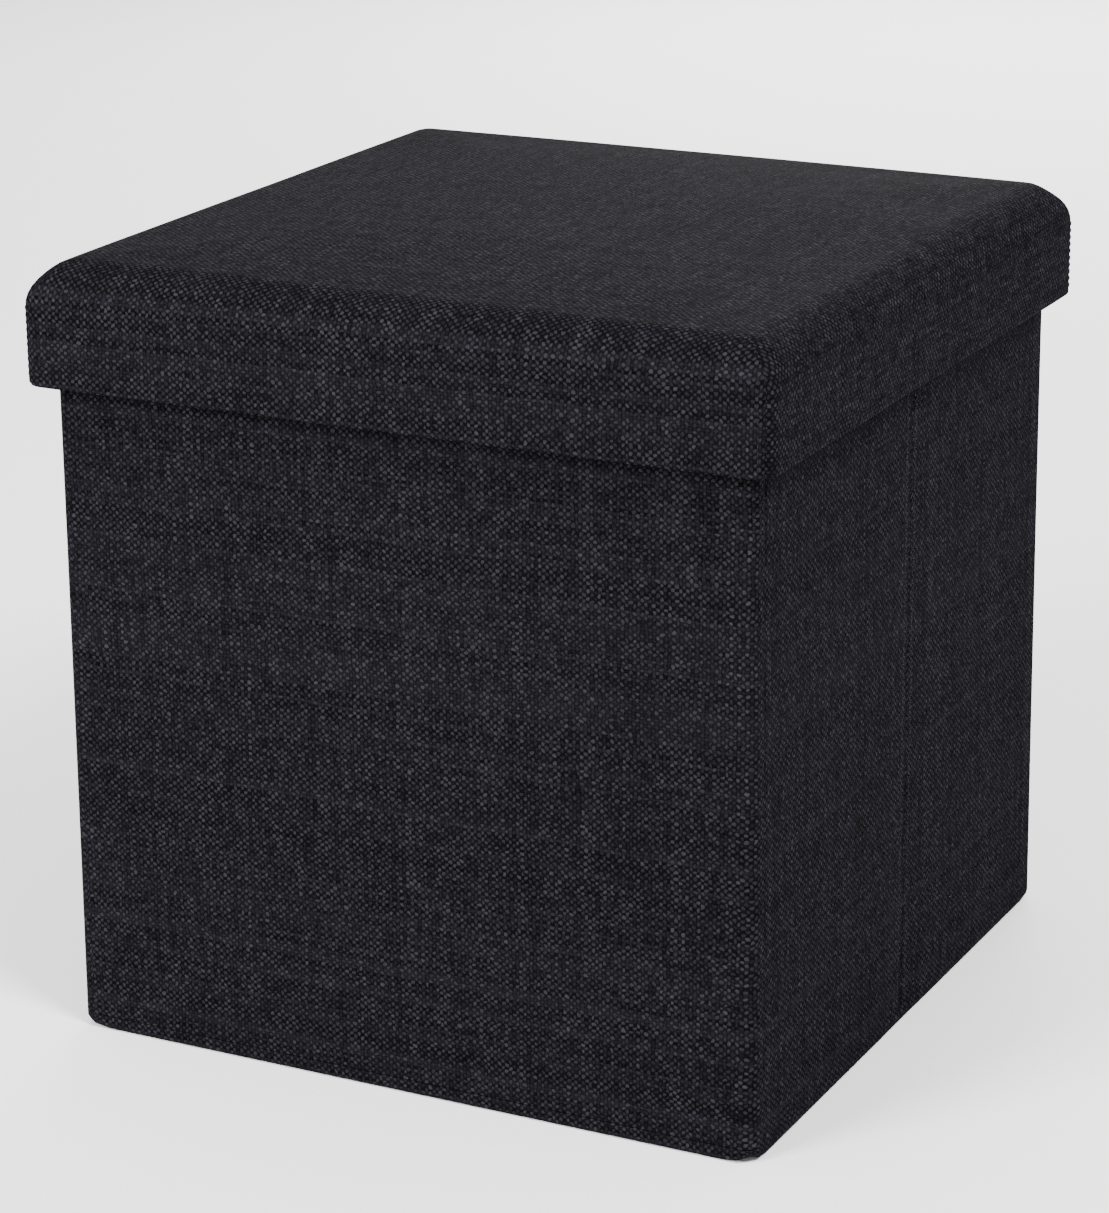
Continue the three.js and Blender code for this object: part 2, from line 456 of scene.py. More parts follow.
@dataclass(frozen=True)
class Grosgrain:
    """Ribbed tape with a firm edge."""

    name: str = "grosgrain"
    rib: float = 0.9 * MM
    colour: tuple[float, float, float] = (0.016, 0.016, 0.019)

    def build(self) -> Material:
        """Makes the material.

        Returns:
            The finished material.
        """
        g = Graph(self.name)
        u, v = g.cloth()
        ribs = g.math("SINE", v * (2 * math.pi / self.rib)) * 0.5 + 0.5
        threads = g.math("SINE", u * (2 * math.pi / (0.35 * self.rib))) * 0.5 + 0.5
        fuzz = g.noise(g.vector(u, v), 1500.0, 3.0)
        g.finish(
            g.scaled(self.colour, 0.5 + ribs * 0.5 + threads * 0.2 + fuzz * 0.4),
            0.45 + fuzz * 0.25,
            ribs * 0.8 + threads * 0.2,
            0.25 * MM,
            Specular_IOR_Level=0.25,
        )
        return g.material


@dataclass(frozen=True)
class SewingThread:
    """Twisted polyester thread."""

    name: str = "sewing_thread"
    # Dark thread, with its colour set darker than the fabric's as painted shade: it stands in for the shade that
    # the sunk stitches lie in.
    colour: tuple[float, float, float] = (0.0042, 0.0039, 0.0049)

    def build(self) -> Material:
        """Makes the material.

        Returns:
            The finished material.
        """
        g = Graph(self.name)
        u, v = g.cloth()
        twist = g.math("SINE", (u + v * 0.6) * (2 * math.pi / (0.5 * MM))) * 0.5 + 0.5
        tone = g.smooth(g.noise(g.object_place(), 420.0, 2.0), 0.35, 0.65)
        colour = g.scaled(self.colour, 0.25 + twist * 0.3 + tone * 1.3)
        g.finish(colour, 0.6 + tone * 0.2, twist, 0.08 * MM, Specular_IOR_Level=0.15)
        return g.material


@dataclass(frozen=True)
class FloorPaper:
    """Pale seamless floor with a faint grain."""

    name: str = "floor_paper"
    colour: tuple[float, float, float] = (0.90, 0.90, 0.90)

    def build(self) -> Material:
        """Makes the material.

        Returns:
            The finished material.
        """
        g = Graph(self.name)
        grain = g.noise(g.object_place(), 400.0, 3.0)
        g.finish(g.scaled(self.colour, 0.985 + grain * 0.03), 0.7 + grain * 0.1, grain, 0.02 * MM)
        return g.material


class Wardrobe:
    """Every finish of the ottoman, built once."""

    def __init__(self) -> None:
        """Builds the materials."""
        self.fabric = LinenWeave().build()
        self.lining = Nonwoven().build()
        self.board = Fibreboard().build()
        self.foam = SeatFoam().build()
        self.ribbon = Grosgrain().build()
        self.thread = SewingThread().build()
        self.floor = FloorPaper().build()


# ------------------------------------------------------------------------------
# Mesh making
# ------------------------------------------------------------------------------

def smoothstep(low: float, high: float, value: float) -> float:
    """0 below low, 1 above high, and smooth between them."""
    share = min(1.0, max(0.0, (value - low) / (high - low)))
    return share * share * (3 - 2 * share)


def quarter(steps: int, first: int = 1) -> list[tuple[float, float]]:
    """Directions that turn evenly through a right angle.

    Args:
        steps: How many steps make the right angle.
        first: Number of the first one given, 0 for the direction that it starts from.

    Returns:
        (cosine, sine) of each direction.
    """
    angles = (math.radians(90 * i / steps) for i in range(first, steps + 1))
    return [(math.cos(angle), math.sin(angle)) for angle in angles]


def wrinkle(x: float, y: float, seed: float, size: float) -> float:
    """Soft unevenness from about -1 to 1.

    Args:
        x: Place on the cloth, in metres.
        y: Place on the cloth, in metres.
        seed: Picks another pattern.
        size: Width of a swelling, in metres.

    Returns:
        The unevenness there.
    """
    return noise.noise(Vector((x / size, y / size, seed)))


@dataclass
class Draft:
    """A mesh being made: points, faces, and where each face corner lies on the flat cloth."""

    points: list[Point] = field(default_factory=list)
    faces: list[tuple[int, ...]] = field(default_factory=list)
    places: list[Place] = field(default_factory=list)

    def face(self, corners: Sequence[int], places: Sequence[Place]) -> None:
        """Adds a face, leaving out repeated corners.

        Args:
            corners: Numbers of its points.
            places: Where they lie on the flat cloth.
        """
        kept: list[int] = []
        kept_places: list[tuple[float, float]] = []
        for corner, place in zip(corners, places):
            if corner not in kept:
                kept.append(corner)
                kept_places.append(place)
        if len(kept) > 2:
            self.faces.append(tuple(kept))
            self.places.extend(kept_places)

    def strip(self, rows: Sequence[Sequence[int]], places: Sequence[Sequence[Place]]) -> None:
        """Adds quads between neighbouring rows of point numbers.

        Args:
            rows: Numbers of each row's points.
            places: Where they lie on the flat cloth.
        """
        for k in range(len(rows) - 1):
            for i in range(len(rows[k]) - 1):
                self.face(
                    (rows[k][i], rows[k][i + 1], rows[k + 1][i + 1], rows[k + 1][i]),
                    (places[k][i], places[k][i + 1], places[k + 1][i + 1], places[k + 1][i]),
                )

    def add(self, points: Sequence[Point]) -> list[int]:
        """Adds points and returns their numbers.

        Args:
            points: Places of the points.

        Returns:
            Their numbers.
        """
        first = len(self.points)
        self.points.extend(points)
        return list(range(first, len(self.points)))

    def ring(self, points: Sequence[Point]) -> list[int]:
        """Adds points and returns their numbers, with the first once more at the end."""
        numbers = self.add(points)
        return numbers + numbers[:1]

    def grid(self, count: int, columns: int, spot: Callable[[int, int], tuple[Point, Place]]) -> None:
        """Adds a sheet of quads.

        Args:
            count: Rows of quads.
            columns: Quads in a row.
            spot: Gives a point and its place on the flat cloth, from the numbers of its row and column.
        """
        rows, places = [], []
        for k in range(count + 1):
            row = [spot(k, i) for i in range(columns + 1)]
            rows.append(self.add([point for point, _ in row]))
            places.append([place for _, place in row])
        self.strip(rows, places)

    def build(self, name: str, material: Material, smooth: bool = True) -> Piece:
        """Makes the object.

        Args:
            name: Name of the piece.
            material: Its finish.
            smooth: Whether its faces are shaded smooth.

        Returns:
            The object, in the scene.
        """
        mesh = bpy.data.meshes.new(name)
        mesh.from_pydata([tuple(p) for p in self.points], [], self.faces)
        attribute = mesh.attributes.new(CLOTH, "FLOAT_VECTOR", "CORNER")
        flat = np.zeros((len(self.places), 3), np.float32)
        flat[:, :2] = np.array(self.places, np.float32)
        attribute.data.foreach_set("vector", flat.ravel())
        mesh.polygons.foreach_set("use_smooth", [smooth] * len(mesh.polygons))
        mesh.materials.append(material)
        mesh.update()
        made = bpy.data.objects.new(name, mesh)
        bpy.context.scene.collection.objects.link(made)
        return made


def thicken(piece: Piece, thickness: float, offset: float = -1.0) -> None:
    """Gives an open sheet a thickness, inwards from its surface unless offset says otherwise.

    Args:
        piece: The sheet.
        thickness: Its thickness, in metres.
        offset: -1 puts the thickness inside the surface, and 1 outside.
    """
    modifier = piece.modifiers.new("thickness", "SOLIDIFY")
    modifier.thickness = thickness
    modifier.offset = offset
    modifier.use_even_offset = True
    bake_modifiers(piece)


def bake_modifiers(piece: Piece) -> None:
    """Applies every modifier of a piece.

    Args:
        piece: A piece with modifiers.
    """
    bpy.context.view_layer.update()
    shown = piece.evaluated_get(bpy.context.evaluated_depsgraph_get())
    mesh = bpy.data.meshes.new_from_object(shown)
    piece.modifiers.clear()
    old = piece.data
    piece.data = mesh
    bpy.data.meshes.remove(old)
    mesh.name = piece.name


@dataclass
class Side:
    """One side of the box, with its own frame: along it, inwards from its outer face, and up."""

    origin: Vector
    along: Vector
    inward: Vector
    cloth: float  # where the middle of this side lies along the cloth round the box, in metres

    def place(self, along: float, inward: float, up: float) -> Vector:
        """A point in the row frame."""
        spot = self.origin + self.along * along + self.inward * inward
        return Vector((spot.x, spot.y, up))


def box_sides() -> dict[str, Side]:
    """The four sides of the box, from the frame's end walls.

    Returns:
        Each side, by its name.
    """
    low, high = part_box("front_cover")
    half_width = high.x
    half_depth = -low.y
    across = half_width + half_depth - 2 * END_RADIUS + END_RADIUS * math.pi / 2
    return {
        "front": Side(Vector((0, -half_depth, 0)), Vector((1, 0, 0)), Vector((0, 1, 0)), 0.0),
        "right": Side(Vector((half_width, 0, 0)), Vector((0, 1, 0)), Vector((-1, 0, 0)), across),
        "back": Side(Vector((0, half_depth, 0)), Vector((-1, 0, 0)), Vector((0, -1, 0)), 2 * across),
        "left": Side(Vector((-half_width, 0, 0)), Vector((0, -1, 0)), Vector((1, 0, 0)), 3 * across),
    }


# ------------------------------------------------------------------------------
# The box
# ------------------------------------------------------------------------------


@dataclass
class WallPanel:
    """A board in a pocket of woven fabric: one end wall, or half of a folding side wall."""

    name: str
    body: str
    side_name: str
    start_radius: float  # rounding of the outer upright edge where the panel starts
    end_radius: float
    thickness: float = 6.0 * MM
    inner_radius: float = 1.0 * MM
    rim_radius: float = 2.6 * MM
    foot_radius: float = 0.5 * MM
    turn_over_side: float = 10.0 * MM
    turn_over_top: float = 25.0 * MM
    turn_over_height: float = 0.75 * MM
    swell: float = 0.45 * MM
    ripple: float = 0.12 * MM  # fine unevenness of the cloth
    lining_thickness: float = 0.25 * MM
    fold_step: float = 0.5 * MM  # width of the step at the turned-over fabric's edge
    column: float = 6.0 * MM  # width of a column of faces

    def __post_init__(self) -> None:
        """Reads the panel's place from the frame."""
        self.side = box_sides()[self.side_name]
        low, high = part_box(self.name + "_cover")
        ends = [(corner - self.side.origin).dot(self.side.along) for corner in (low, high)]
        self.start, self.end = min(ends), max(ends)
        self.foot, self.top = low.z, high.z
        self.creased = self.side_name in ("left", "right")

    def build(self, wardrobe: Wardrobe) -> list[Piece]:
        """Makes the cover and the lining, and dresses the board.

        Args:
            wardrobe: The finishes.

        Returns:
            The new pieces.
        """
        cover = self._cover(wardrobe.fabric)
        lining = self._lining(wardrobe.lining)
        dress(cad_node(self.name + "_board"), wardrobe.board)
        return [cover, lining]

    def _outline(self) -> list[Spot]:
        """The panel seen from above.

        Returns:
            (along, inward, outward normal along, outward normal inward) of each point, starting on the outer
            face, closed, without the last point.
        """
        ring: list[Spot] = []
        t, ri = self.thickness, self.inner_radius
        r0, r1 = self.start_radius, self.end_radius
        r0i, r1i = min(ri, t - r0), min(ri, t - r1)
        length = self.end - r1 - self.start - r0
        columns = max(8, round(length / self.column))
        for i in range(columns + 1):
            ring.append((self.start + r0 + length * i / columns, 0.0, 0.0, -1.0))
        ring += self._corner(self.end - r1, r1, r1, -90.0)
        ring += self._corner(self.end - r1i, t - r1i, r1i, 0.0)
        border, step = self.turn_over_side, self.fold_step
        inner = [self.end - r1i, self.end - border + step, self.end - border]
        span = self.end - self.start - 2 * border
        inner_columns = max(6, round(span / (2 * self.column)))
        inner += [self.end - border - span * i / inner_columns for i in range(1, inner_columns)]
        inner += [self.start + border, self.start + border - step, self.start + r0i]
        ring += [(a, t, 0.0, 1.0) for a in inner[1:]]
        ring += self._corner(self.start + r0i, t - r0i, r0i, 90.0)
        ring += self._corner(self.start + r0, r0, r0, 180.0)
        return ring

    @staticmethod
    def _corner(along: float, inward: float, radius: float, first: float) -> list[Spot]:
        """Points of a quarter round about a centre, without its first one.

        Args:
            along: The centre's place along the side.
            inward: The centre's depth from the outer face.
            radius: Radius of the round.
            first: Angle of its start, in degrees.

        Returns:
            (along, inward, outward normal along, outward normal inward) of each point.
        """
        steps = 7 if radius > 2 * MM else 3
        points = []
        for i in range(1, steps + 1):
            angle = math.radians(first + 90.0 * i / steps)
            normal = (math.cos(angle), math.sin(angle))
            points.append((along + radius * normal[0], inward + radius * normal[1], *normal))
        return points

    def _levels(self) -> list[tuple[float, float]]:
        """(height, inset) of each row of points, from the foot to the top.

        Returns:
            The rows, with how far each is drawn in from the outline.
        """
        r = self.foot_radius
        levels = [(self.foot + r * (1 - cosine), r * (1 - sine)) for cosine, sine in quarter(3, 0)]
        r = self.rim_radius
        low, high = self.foot + self.foot_radius, self.top - r
        marks = [self.foot + self.turn_over_side, self.top - self.turn_over_top]
        step = self.fold_step
        rows = round((high - low) / (1.4 * self.column))
        plain = [low + (high - low) * i / rows for i in range(1, rows)]
        plain = [z for z in plain if all(abs(z - m) > 2 * MM for m in marks)]
        plain += [marks[0], marks[0] - step, marks[1], marks[1] + step]
        levels += [(z, 0.0) for z in sorted(plain)]
        levels += [(self.top - r + r * sine, r * (1 - cosine)) for cosine, sine in quarter(5, 0)]
        return levels

    def _in_window(self, along: float, up: float) -> bool:
        """Whether the lining covers a point of the inside.

        Args:
            along: Distance from the middle of the side, in metres.
            up: Height, in metres.

        Returns:
            True inside the lining's edges.
        """
        slack = 0.1 * MM
        return (
            self.start + self.turn_over_side - slack <= along <= self.end - self.turn_over_side + slack
            and self.foot + self.turn_over_side - slack <= up <= self.top - self.turn_over_top + slack
        )

    def _cover(self, fabric: Material) -> Piece:
        """The woven pocket.

        Args:
            fabric: The woven fabric.

        Returns:
            The new piece.
        """
        draft = Draft()
        outline = self._outline()
        levels = self._levels()
        lengths = [0.0]
        for (a0, s0, *_), (a1, s1, *_) in zip(outline, outline[1:] + outline[:1]):
            lengths.append(lengths[-1] + math.hypot(a1 - a0, s1 - s0))
        origin = self.side.cloth + self.start + self.start_radius
        seed = float(sum(map(ord, self.name)) % 97)
        rows, places = [], []
        run = levels[0][0] - levels[0][1]
        for k, (up, inset) in enumerate(levels):
            if k:
                run += math.hypot(up - levels[k - 1][0], inset - levels[k - 1][1])
            row = []
            for along, inward, normal_a, normal_s in outline:
                out = -inset
                if normal_s == -1.0:
                    edge = smoothstep(0.0, 25 * MM, min(along - self.start, self.end - along))
                    edge *= smoothstep(0.0, 20 * MM, min(up - self.foot, self.top - up))
                    out += edge * self.swell * (0.35 + wrinkle(along, up, seed, 90 * MM))
                    out += edge * self.ripple * wrinkle(along, up, seed + 5, 22 * MM)
                if normal_s == 1.0 and self._in_window(along, up):
                    out -= self.turn_over_height
                spread = flare_at(along, up, self.creased) if normal_s <= 0.0 else 0.0
                spread_a = 0.0 if self.creased else normal_a * spread
                spread_s = -spread if self.creased and inward < self.thickness / 2 else normal_s * spread
                along_out = along + normal_a * out + spread_a
                row.append(self.side.place(along_out, inward + normal_s * out + spread_s, up))
            rows.append(draft.ring(row))
            places.append([(origin + length, run) for length in lengths])
        draft.strip(rows, places)
        draft.face(rows[0][:-1][::-1], places[0][:-1][::-1])
        draft.face(rows[-1][:-1], places[-1][:-1])
        cover = draft.build(self.name + "_fabric", fabric)
        fit(cover, self.body, Slot.FABRIC, self.name + "_cover")
        return cover

    def _lining(self, material: Material) -> Piece:
        """The lining in the window that the turned-over fabric leaves.

        Args:
            material: Its finish.

        Returns:
            The new piece.
        """
        low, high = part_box(self.name + "_lining")
        ends = sorted((corner - self.side.origin).dot(self.side.along) for corner in (low, high))
        depth = self.thickness - self.turn_over_height + 0.05 * MM
        draft = Draft()
        columns, count = 24, 30
        seed = float(sum(map(ord, self.name)) % 89)

        def spot(k: int, i: int) -> tuple[Point, Place]:
            """A point of the lining, which puffs a little away from its edges.

            Args:
                k: Number of its row.
                i: Number of its column.

            Returns:
                The point, and its place on the flat cloth.
            """
            up = low.z + (high.z - low.z) * k / count
            along = ends[1] + (ends[0] - ends[1]) * i / columns
            edge = smoothstep(0.0, 20 * MM, min(along - ends[0], ends[1] - along, up - low.z, high.z - up))
            puff = edge * self.ripple * (1 + wrinkle(along, up, seed, 40 * MM))
            return self.side.place(along, depth + puff, up), (along, up)

        draft.grid(count, columns, spot)
        lining = draft.build(self.name + "_lining_cloth", material)
        thicken(lining, self.lining_thickness, 1.0)
        fit(lining, self.body, Slot.LINING, self.name + "_lining")
        flat = ends[1] - ends[0], high.z - low.z
        return lining


def fit(piece: Piece, body: str, slot: Slot, *nodes: str) -> None:
    """Puts a piece on its body.

    Args:
        piece: The piece, where it belongs.
        body: Body that it rides on.
        slot: Not used.
        nodes: Nodes of the frame that it stands for.
    """
    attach(piece, body)
    if nodes:
        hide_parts(*nodes)


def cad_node(name: str) -> Piece:
    """A node of the frame."""
    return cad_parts[name]


def dress(piece: Piece, material: Material) -> None:
    """Gives a piece one material."""
    piece.data.materials.clear()
    piece.data.materials.append(material)


@dataclass
class HingeStrip:
    """Cloth that joins two wall panels along an upright edge, tucked under both of them.

    A strip with one body is sewn to that wall only, and ends just short of its neighbour.
    """

    name: str
    bodies: tuple[str, ...]
    side_name: str
    tuck: float = 1.3 * MM
    below: float = 0.10 * MM  # depth of its tucked edges under the outer face
    groove: float = 0.0  # depth of its middle
    short: float = 2.3 * MM  # how much lower than the walls it ends
    cloth: float = 0.4 * MM

    def build(self, wardrobe: Wardrobe) -> Piece:
        """Makes the strip, and puts it on its body when it has only one.

        Args:
            wardrobe: The finishes.

        Returns:
            The new piece.
        """
        side = box_sides()[self.side_name]
        low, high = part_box(self.name)
        ends = sorted((corner - side.origin).dot(side.along) for corner in (low, high))
        start, end = ends[0] - self.tuck, ends[1] + self.tuck
        if len(self.bodies) == 1:
            start, end = self._one_sided(side, ends)
        draft = Draft()
        columns, count = 10, 24

        def spot(k: int, i: int) -> tuple[Point, Place]:
            """A point of the strip, which bows between its tucked edges.

            Args:
                k: Number of its row.
                i: Number of its column.

            Returns:
                The point, and its place on the flat cloth.
            """
            up = low.z + 0.1 * MM + (high.z - low.z - self.short) * k / count
            share = i / columns
            along = start + (end - start) * share
            rise = math.sin(math.pi * share) ** 0.7
            depth = self.below + (self.groove - self.below) * rise - flare_at(along, up, True)
            return side.place(along, depth, up), (side.cloth + along, up)

        draft.grid(count, columns, spot)
        strip = draft.build(self.name + "_cloth", wardrobe.fabric)
        thicken(strip, self.cloth)
        if len(self.bodies) == 1:
            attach(strip, self.bodies[0])
        else:
            first, second = self._ends(side, start, end)
            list(self.bodies)
            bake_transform(strip)
        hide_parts(self.name)
        return strip

    def _one_sided(self, side: Side, ends: Sequence[float]) -> tuple[float, float]:
        """Both ends of a strip that is tucked under its own wall only.

        Args:
            side: Side of the box that the strip is on.
            ends: Where its solid starts and ends along that side.

        Returns:
            Where the cloth starts and ends.
        """
        low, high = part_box(BODY_COVERS[self.bodies[0]])
        wall = ((low + high) / 2 - side.origin).dot(side.along)
        if wall < sum(ends) / 2:
            return ends[0] - self.tuck, ends[1]
        return ends[0], ends[1] + self.tuck

    def _ends(self, side: Side, start: float, end: float) -> tuple[Vector, Vector]:
        """Where the strip starts and ends, in the order of its two bodies.

        Args:
            side: Side of the box that the strip is on.
            start: Where the strip starts along it.
            end: Where the strip ends along it.

        Returns:
            The two places, first body first.
        """
        first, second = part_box(BODY_COVERS[self.bodies[0]]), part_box(BODY_COVERS[self.bodies[1]])
        centres = [((low + high) / 2 - side.origin).dot(side.along) for low, high in (first, second)]
        low_first = centres[0] < centres[1]
        points = side.place(start, 0, 0), side.place(end, 0, 0)
        return points if low_first else points[::-1]


BODY_COVERS = {
    "back_wall": "back_cover",
    "front_wall": "front_cover",
    "right_rear_half": "right_rear_half_cover",
    "right_front_half": "right_front_half_cover",
    "left_rear_half": "left_rear_half_cover",
    "left_front_half": "left_front_half_cover",
}


@dataclass
class StitchRow:
    """A row of lockstitches along a line on a panel."""

    length: float = 3.0 * MM
    pause: float = 0.9 * MM
    radius: float = 0.28 * MM
    sides: int = 6

    def sew(self, draft: Draft, start: Vector, end: Vector, out: Vector, run: float = 0.0) -> float:
        """Adds stitches between two points.

        Args:
            draft: Mesh to add to.
            start: First point, on the cloth.
            end: Last point, on the cloth.
            out: Direction out of the cloth.
            run: Length of thread sewn before.

        Returns:
            Length of thread sewn so far.
        """
        line = end - start
        count = max(1, round(line.length / (self.length + self.pause)))
        step = line.length / count
        along = line.normalized()
        across = along.cross(out).normalized()
        for n in range(count):
            middle = start + along * (step * (n + 0.5))
            jitter = 0.12 * MM * noise.noise(middle * 900)
            self._stitch(draft, middle + across * jitter, along, across, out, step - self.pause, run + n * step)
        return run + line.length

    def zigzag(self, draft: Draft, start: Vector, end: Vector, sway: Vector, out: Vector) -> None:
        """Adds stitches that run from side to side between two points.

        Args:
            draft: Mesh to add to.
            start: First point, on the cloth.
            end: Last point, on the cloth.
            sway: From the middle of the row to its side.
            out: Direction out of the cloth.
        """
        line = end - start
        count = round(line.length / self.length)
        spots = [start + line * (n / count) + sway * (1 - 2 * (n % 2)) for n in range(count + 1)]
        for n, (near, far) in enumerate(zip(spots, spots[1:])):
            along = (far - near).normalized()
            length = (far - near).length - 0.2 * self.pause
            self._stitch(draft, (near + far) / 2, along, along.cross(out).normalized(), out, length, n * length)

    def _stitch(
        self, draft: Draft, middle: Vector, along: Vector, across: Vector, out: Vector, length: float, run: float
    ) -> None:
        """One stitch: a short thread that dips into the cloth at both ends.

        Args:
            draft: Mesh to add to.
            middle: Middle of the stitch, on the cloth.
            along: Direction of the thread.
            across: Direction across it, on the cloth.
            out: Direction out of the cloth.
            length: Length of the stitch.
            run: Length of thread sewn before.
        """
        rows, places = [], []
        stations = 6
        for k in range(stations + 1):
            share = k / stations * 2 - 1
            rise = self.radius * (1.0 - 2.2 * share**4)
            thick = self.radius * math.sqrt(max(0.0, 1 - 0.75 * share**6))
            centre = middle + along * (share * length / 2) + out * rise * 0.8
            ring, ring_places = [], []
            for i in range(self.sides):
                angle = 2 * math.pi * i / self.sides
                ring.append(centre + across * (thick * math.cos(angle)) + out * (thick * math.sin(angle)))
                ring_places.append((run + share * length / 2, angle * self.radius))
            numbers = draft.add(ring)
            rows.append(numbers + numbers[:1])
            places.append(ring_places + [(run + share * length / 2, 2 * math.pi * self.radius)])
        draft.strip(rows, places)
        draft.face(rows[0][:-1][::-1], places[0][:-1][::-1])
        draft.face(rows[-1][:-1], places[-1][:-1])


@dataclass
class PanelStitching:
    """Topstitching down one upright edge of a panel and round its turned-over fabric inside."""

    panel: WallPanel
    crease_inset: float = 0.0  # middle of the zigzag row beside the crease, negative from the panel's end
    zigzag_half: float = 2.0 * MM
    zigzag_sunk: float = 0.30 * MM
    inside_inset: float = 2.0 * MM
    sunk: float = 0.38 * MM  # how deep the inside stitches bed into the fabric

    def build(self, wardrobe: Wardrobe) -> Piece:
        """Makes the stitches.

        Args:
            wardrobe: The finishes.

        Returns:
            The new piece.
        """
        panel, side = self.panel, self.panel.side
        draft = Draft()
        row = StitchRow()
        if self.crease_inset:
            inset = self.crease_inset
            along = panel.start + inset if inset > 0 else panel.end + inset
            spots = [
                side.place(along, self.zigzag_sunk - flare_at(along, up, panel.creased), up)
                for up in (panel.foot + 5 * MM, panel.top - 4 * MM)
            ]
            zigzag = StitchRow(length=2.1 * MM, radius=0.24 * MM)
            zigzag.zigzag(draft, *spots, side.along * self.zigzag_half, -side.inward)
        left = panel.start + panel.turn_over_side - self.inside_inset
        right = panel.end - panel.turn_over_side + self.inside_inset
        foot = panel.foot + panel.turn_over_side - self.inside_inset
        head = panel.top - panel.turn_over_top + self.inside_inset
        depth = panel.thickness - self.sunk
        corners = [(left, foot), (left, head), (right, head), (right, foot), (left, foot)]
        for (a0, z0), (a1, z1) in zip(corners, corners[1:]):
            row.sew(draft, side.place(a0, depth, z0), side.place(a1, depth, z1), side.inward)
        stitches = draft.build(panel.name + "_stitches", wardrobe.thread)
        fit(stitches, panel.body, Slot.FABRIC)
        return stitches


@dataclass
class Foot:
    """The cloth under the box, the hem round its foot, and what lies in the bottom."""

    corner_radius: float = END_RADIUS
    corner_lift: float = 5.0 * MM
    base_radius: float = 11.0 * MM
    turn_under: float = 14.0 * MM
    hem_radius: float = 1.6 * MM
    ribbon_thickness: float = 0.5 * MM
    hem_thickness: float = 0.5 * MM
    bottom_thickness: float = 0.25 * MM
    lining_thickness: float = 0.3 * MM

    def build(self, wardrobe: Wardrobe) -> list[Piece]:
        """Makes the pieces and dresses the board.

        Args:
            wardrobe: The finishes.

        Returns:
            The new pieces.
        """
        dress(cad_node("base_board"), wardrobe.board)
        return [
            self._hem(wardrobe.fabric),
            self._bottom_cloth(wardrobe.lining),
            self._base_lining(wardrobe.lining),
            self._ribbon(wardrobe.ribbon),
        ]

    def _hem(self, fabric: Material) -> Piece:
        """Band of woven fabric round the foot, turned under the box.

        Args:
            fabric: The woven fabric.

        Returns:
            The new piece.
        """
        _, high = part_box("bottom_hem")
        cloth_low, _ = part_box("bottom_cloth")
        half = high.x
        r = self.hem_radius
        floor = cloth_low.z + 0.05 * MM
        spread = flare_at(half, high.z, True)
        half += spread
        profile = [(half - 3 * MM, high.z - 0.1 * MM), (half - 0.4 * MM, high.z)]
        profile += [(half - 0.1 * MM, high.z - 0.1 * MM)]
        profile += [(half, high.z - 0.4 * MM), (half, floor + 2.5 * r), (half, floor + r)]
        profile += [(half - r + r * cosine, floor + r - r * sine) for cosine, sine in quarter(6)]
        profile += [(half - self.turn_under, floor + 0.1 * MM), (half - self.turn_under, floor + 0.6 * MM)]
        draft = Draft()
        rows, places = [], []
        run = 0.0
        loop = 4 * (box_sides()["right"].cloth)
        for k, (reach, up) in enumerate(profile):
            if k:
                run -= math.hypot(reach - profile[k - 1][0], up - profile[k - 1][1])
            ring = rounded_square(reach, max(0.5 * MM, self.corner_radius + spread - (half - reach)), 44)
            points = [(x, y, self._lifted(x, y, up, half)) for x, y, _ in ring]
            drawn = up / high.z
            rows.append(draft.ring([self._beside_creases(point, half, spread, drawn) for point in points]))
            lengths = [place for *_, place in ring]
            places.append([(place, high.z + run) for place in lengths + [lengths[0] + loop]])
        draft.strip(rows[::-1], places[::-1])
        hem = draft.build("bottom_hem_fabric", fabric)
        thicken(hem, self.hem_thickness)
        fit(hem, "back_wall", Slot.FABRIC, "bottom_hem")
        return hem

    def _lifted(self, x: float, y: float, up: float, half: float) -> float:
        """Height of a point of the hem, which rises at the box's four corners.

        Args:
            x: Place of the point.
            y: Place of the point.
            up: Height of the point on a straight hem.
            half: Half the hem's width.

        Returns:
            Height of the point, in metres.
        """
        near = math.hypot(half - abs(x), half - abs(y))
        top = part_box("bottom_hem")[1].z
        share = smoothstep(11 * MM, 0.0, near) * (top - up) / top
        return up + self.corner_lift * share

    @staticmethod
    def _beside_creases(point: Point, half: float, spread: float, drawn: float) -> Point:
        """A point of the hem, drawn in at its top under the side walls' creases.

        Args:
            point: Point on the straight hem.
            half: Half the hem's width.
            spread: How far the walls stand out above the hem.
            drawn: Share of the draw, 1 at the hem's top and 0 on the floor.

        Returns:
            The moved point.
        """
        x, y, up = point
        if abs(x) < half - 8 * MM or abs(x) < abs(y) or abs(y) > 60 * MM:
            return point
        return (x - math.copysign(drawn * (spread - flare_at(y, up, True)), x), y, up)

    def _bottom_cloth(self, material: Material) -> Piece:
        """Cloth stretched under the box, with a little sag between the hem's edges.

        Args:
            material: Its finish.

        Returns:
            The new piece.
        """
        _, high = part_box("bottom_cloth")
        reach = high.x - 1.5 * MM
        cloth = level_sheet("bottom_cloth_sheet", reach, self.base_radius, high.z, 0.12 * MM, 3.0, material)
        thicken(cloth, self.bottom_thickness)
        fit(cloth, "back_wall", Slot.LINING, "bottom_cloth")
        return cloth

    def _base_lining(self, material: Material) -> Piece:
        """Lining on top of the base board.

        Args:
            material: Its finish.

        Returns:
            The new piece.
        """
        low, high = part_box("base_lining")
        top = high.z - 0.1 * MM
        lining = level_sheet("base_lining_cloth", high.x, self.base_radius, top, 0.10 * MM, 8.0, material)
        thicken(lining, self.lining_thickness)
        fit(lining, "back_wall", Slot.LINING, "base_lining")
        return lining

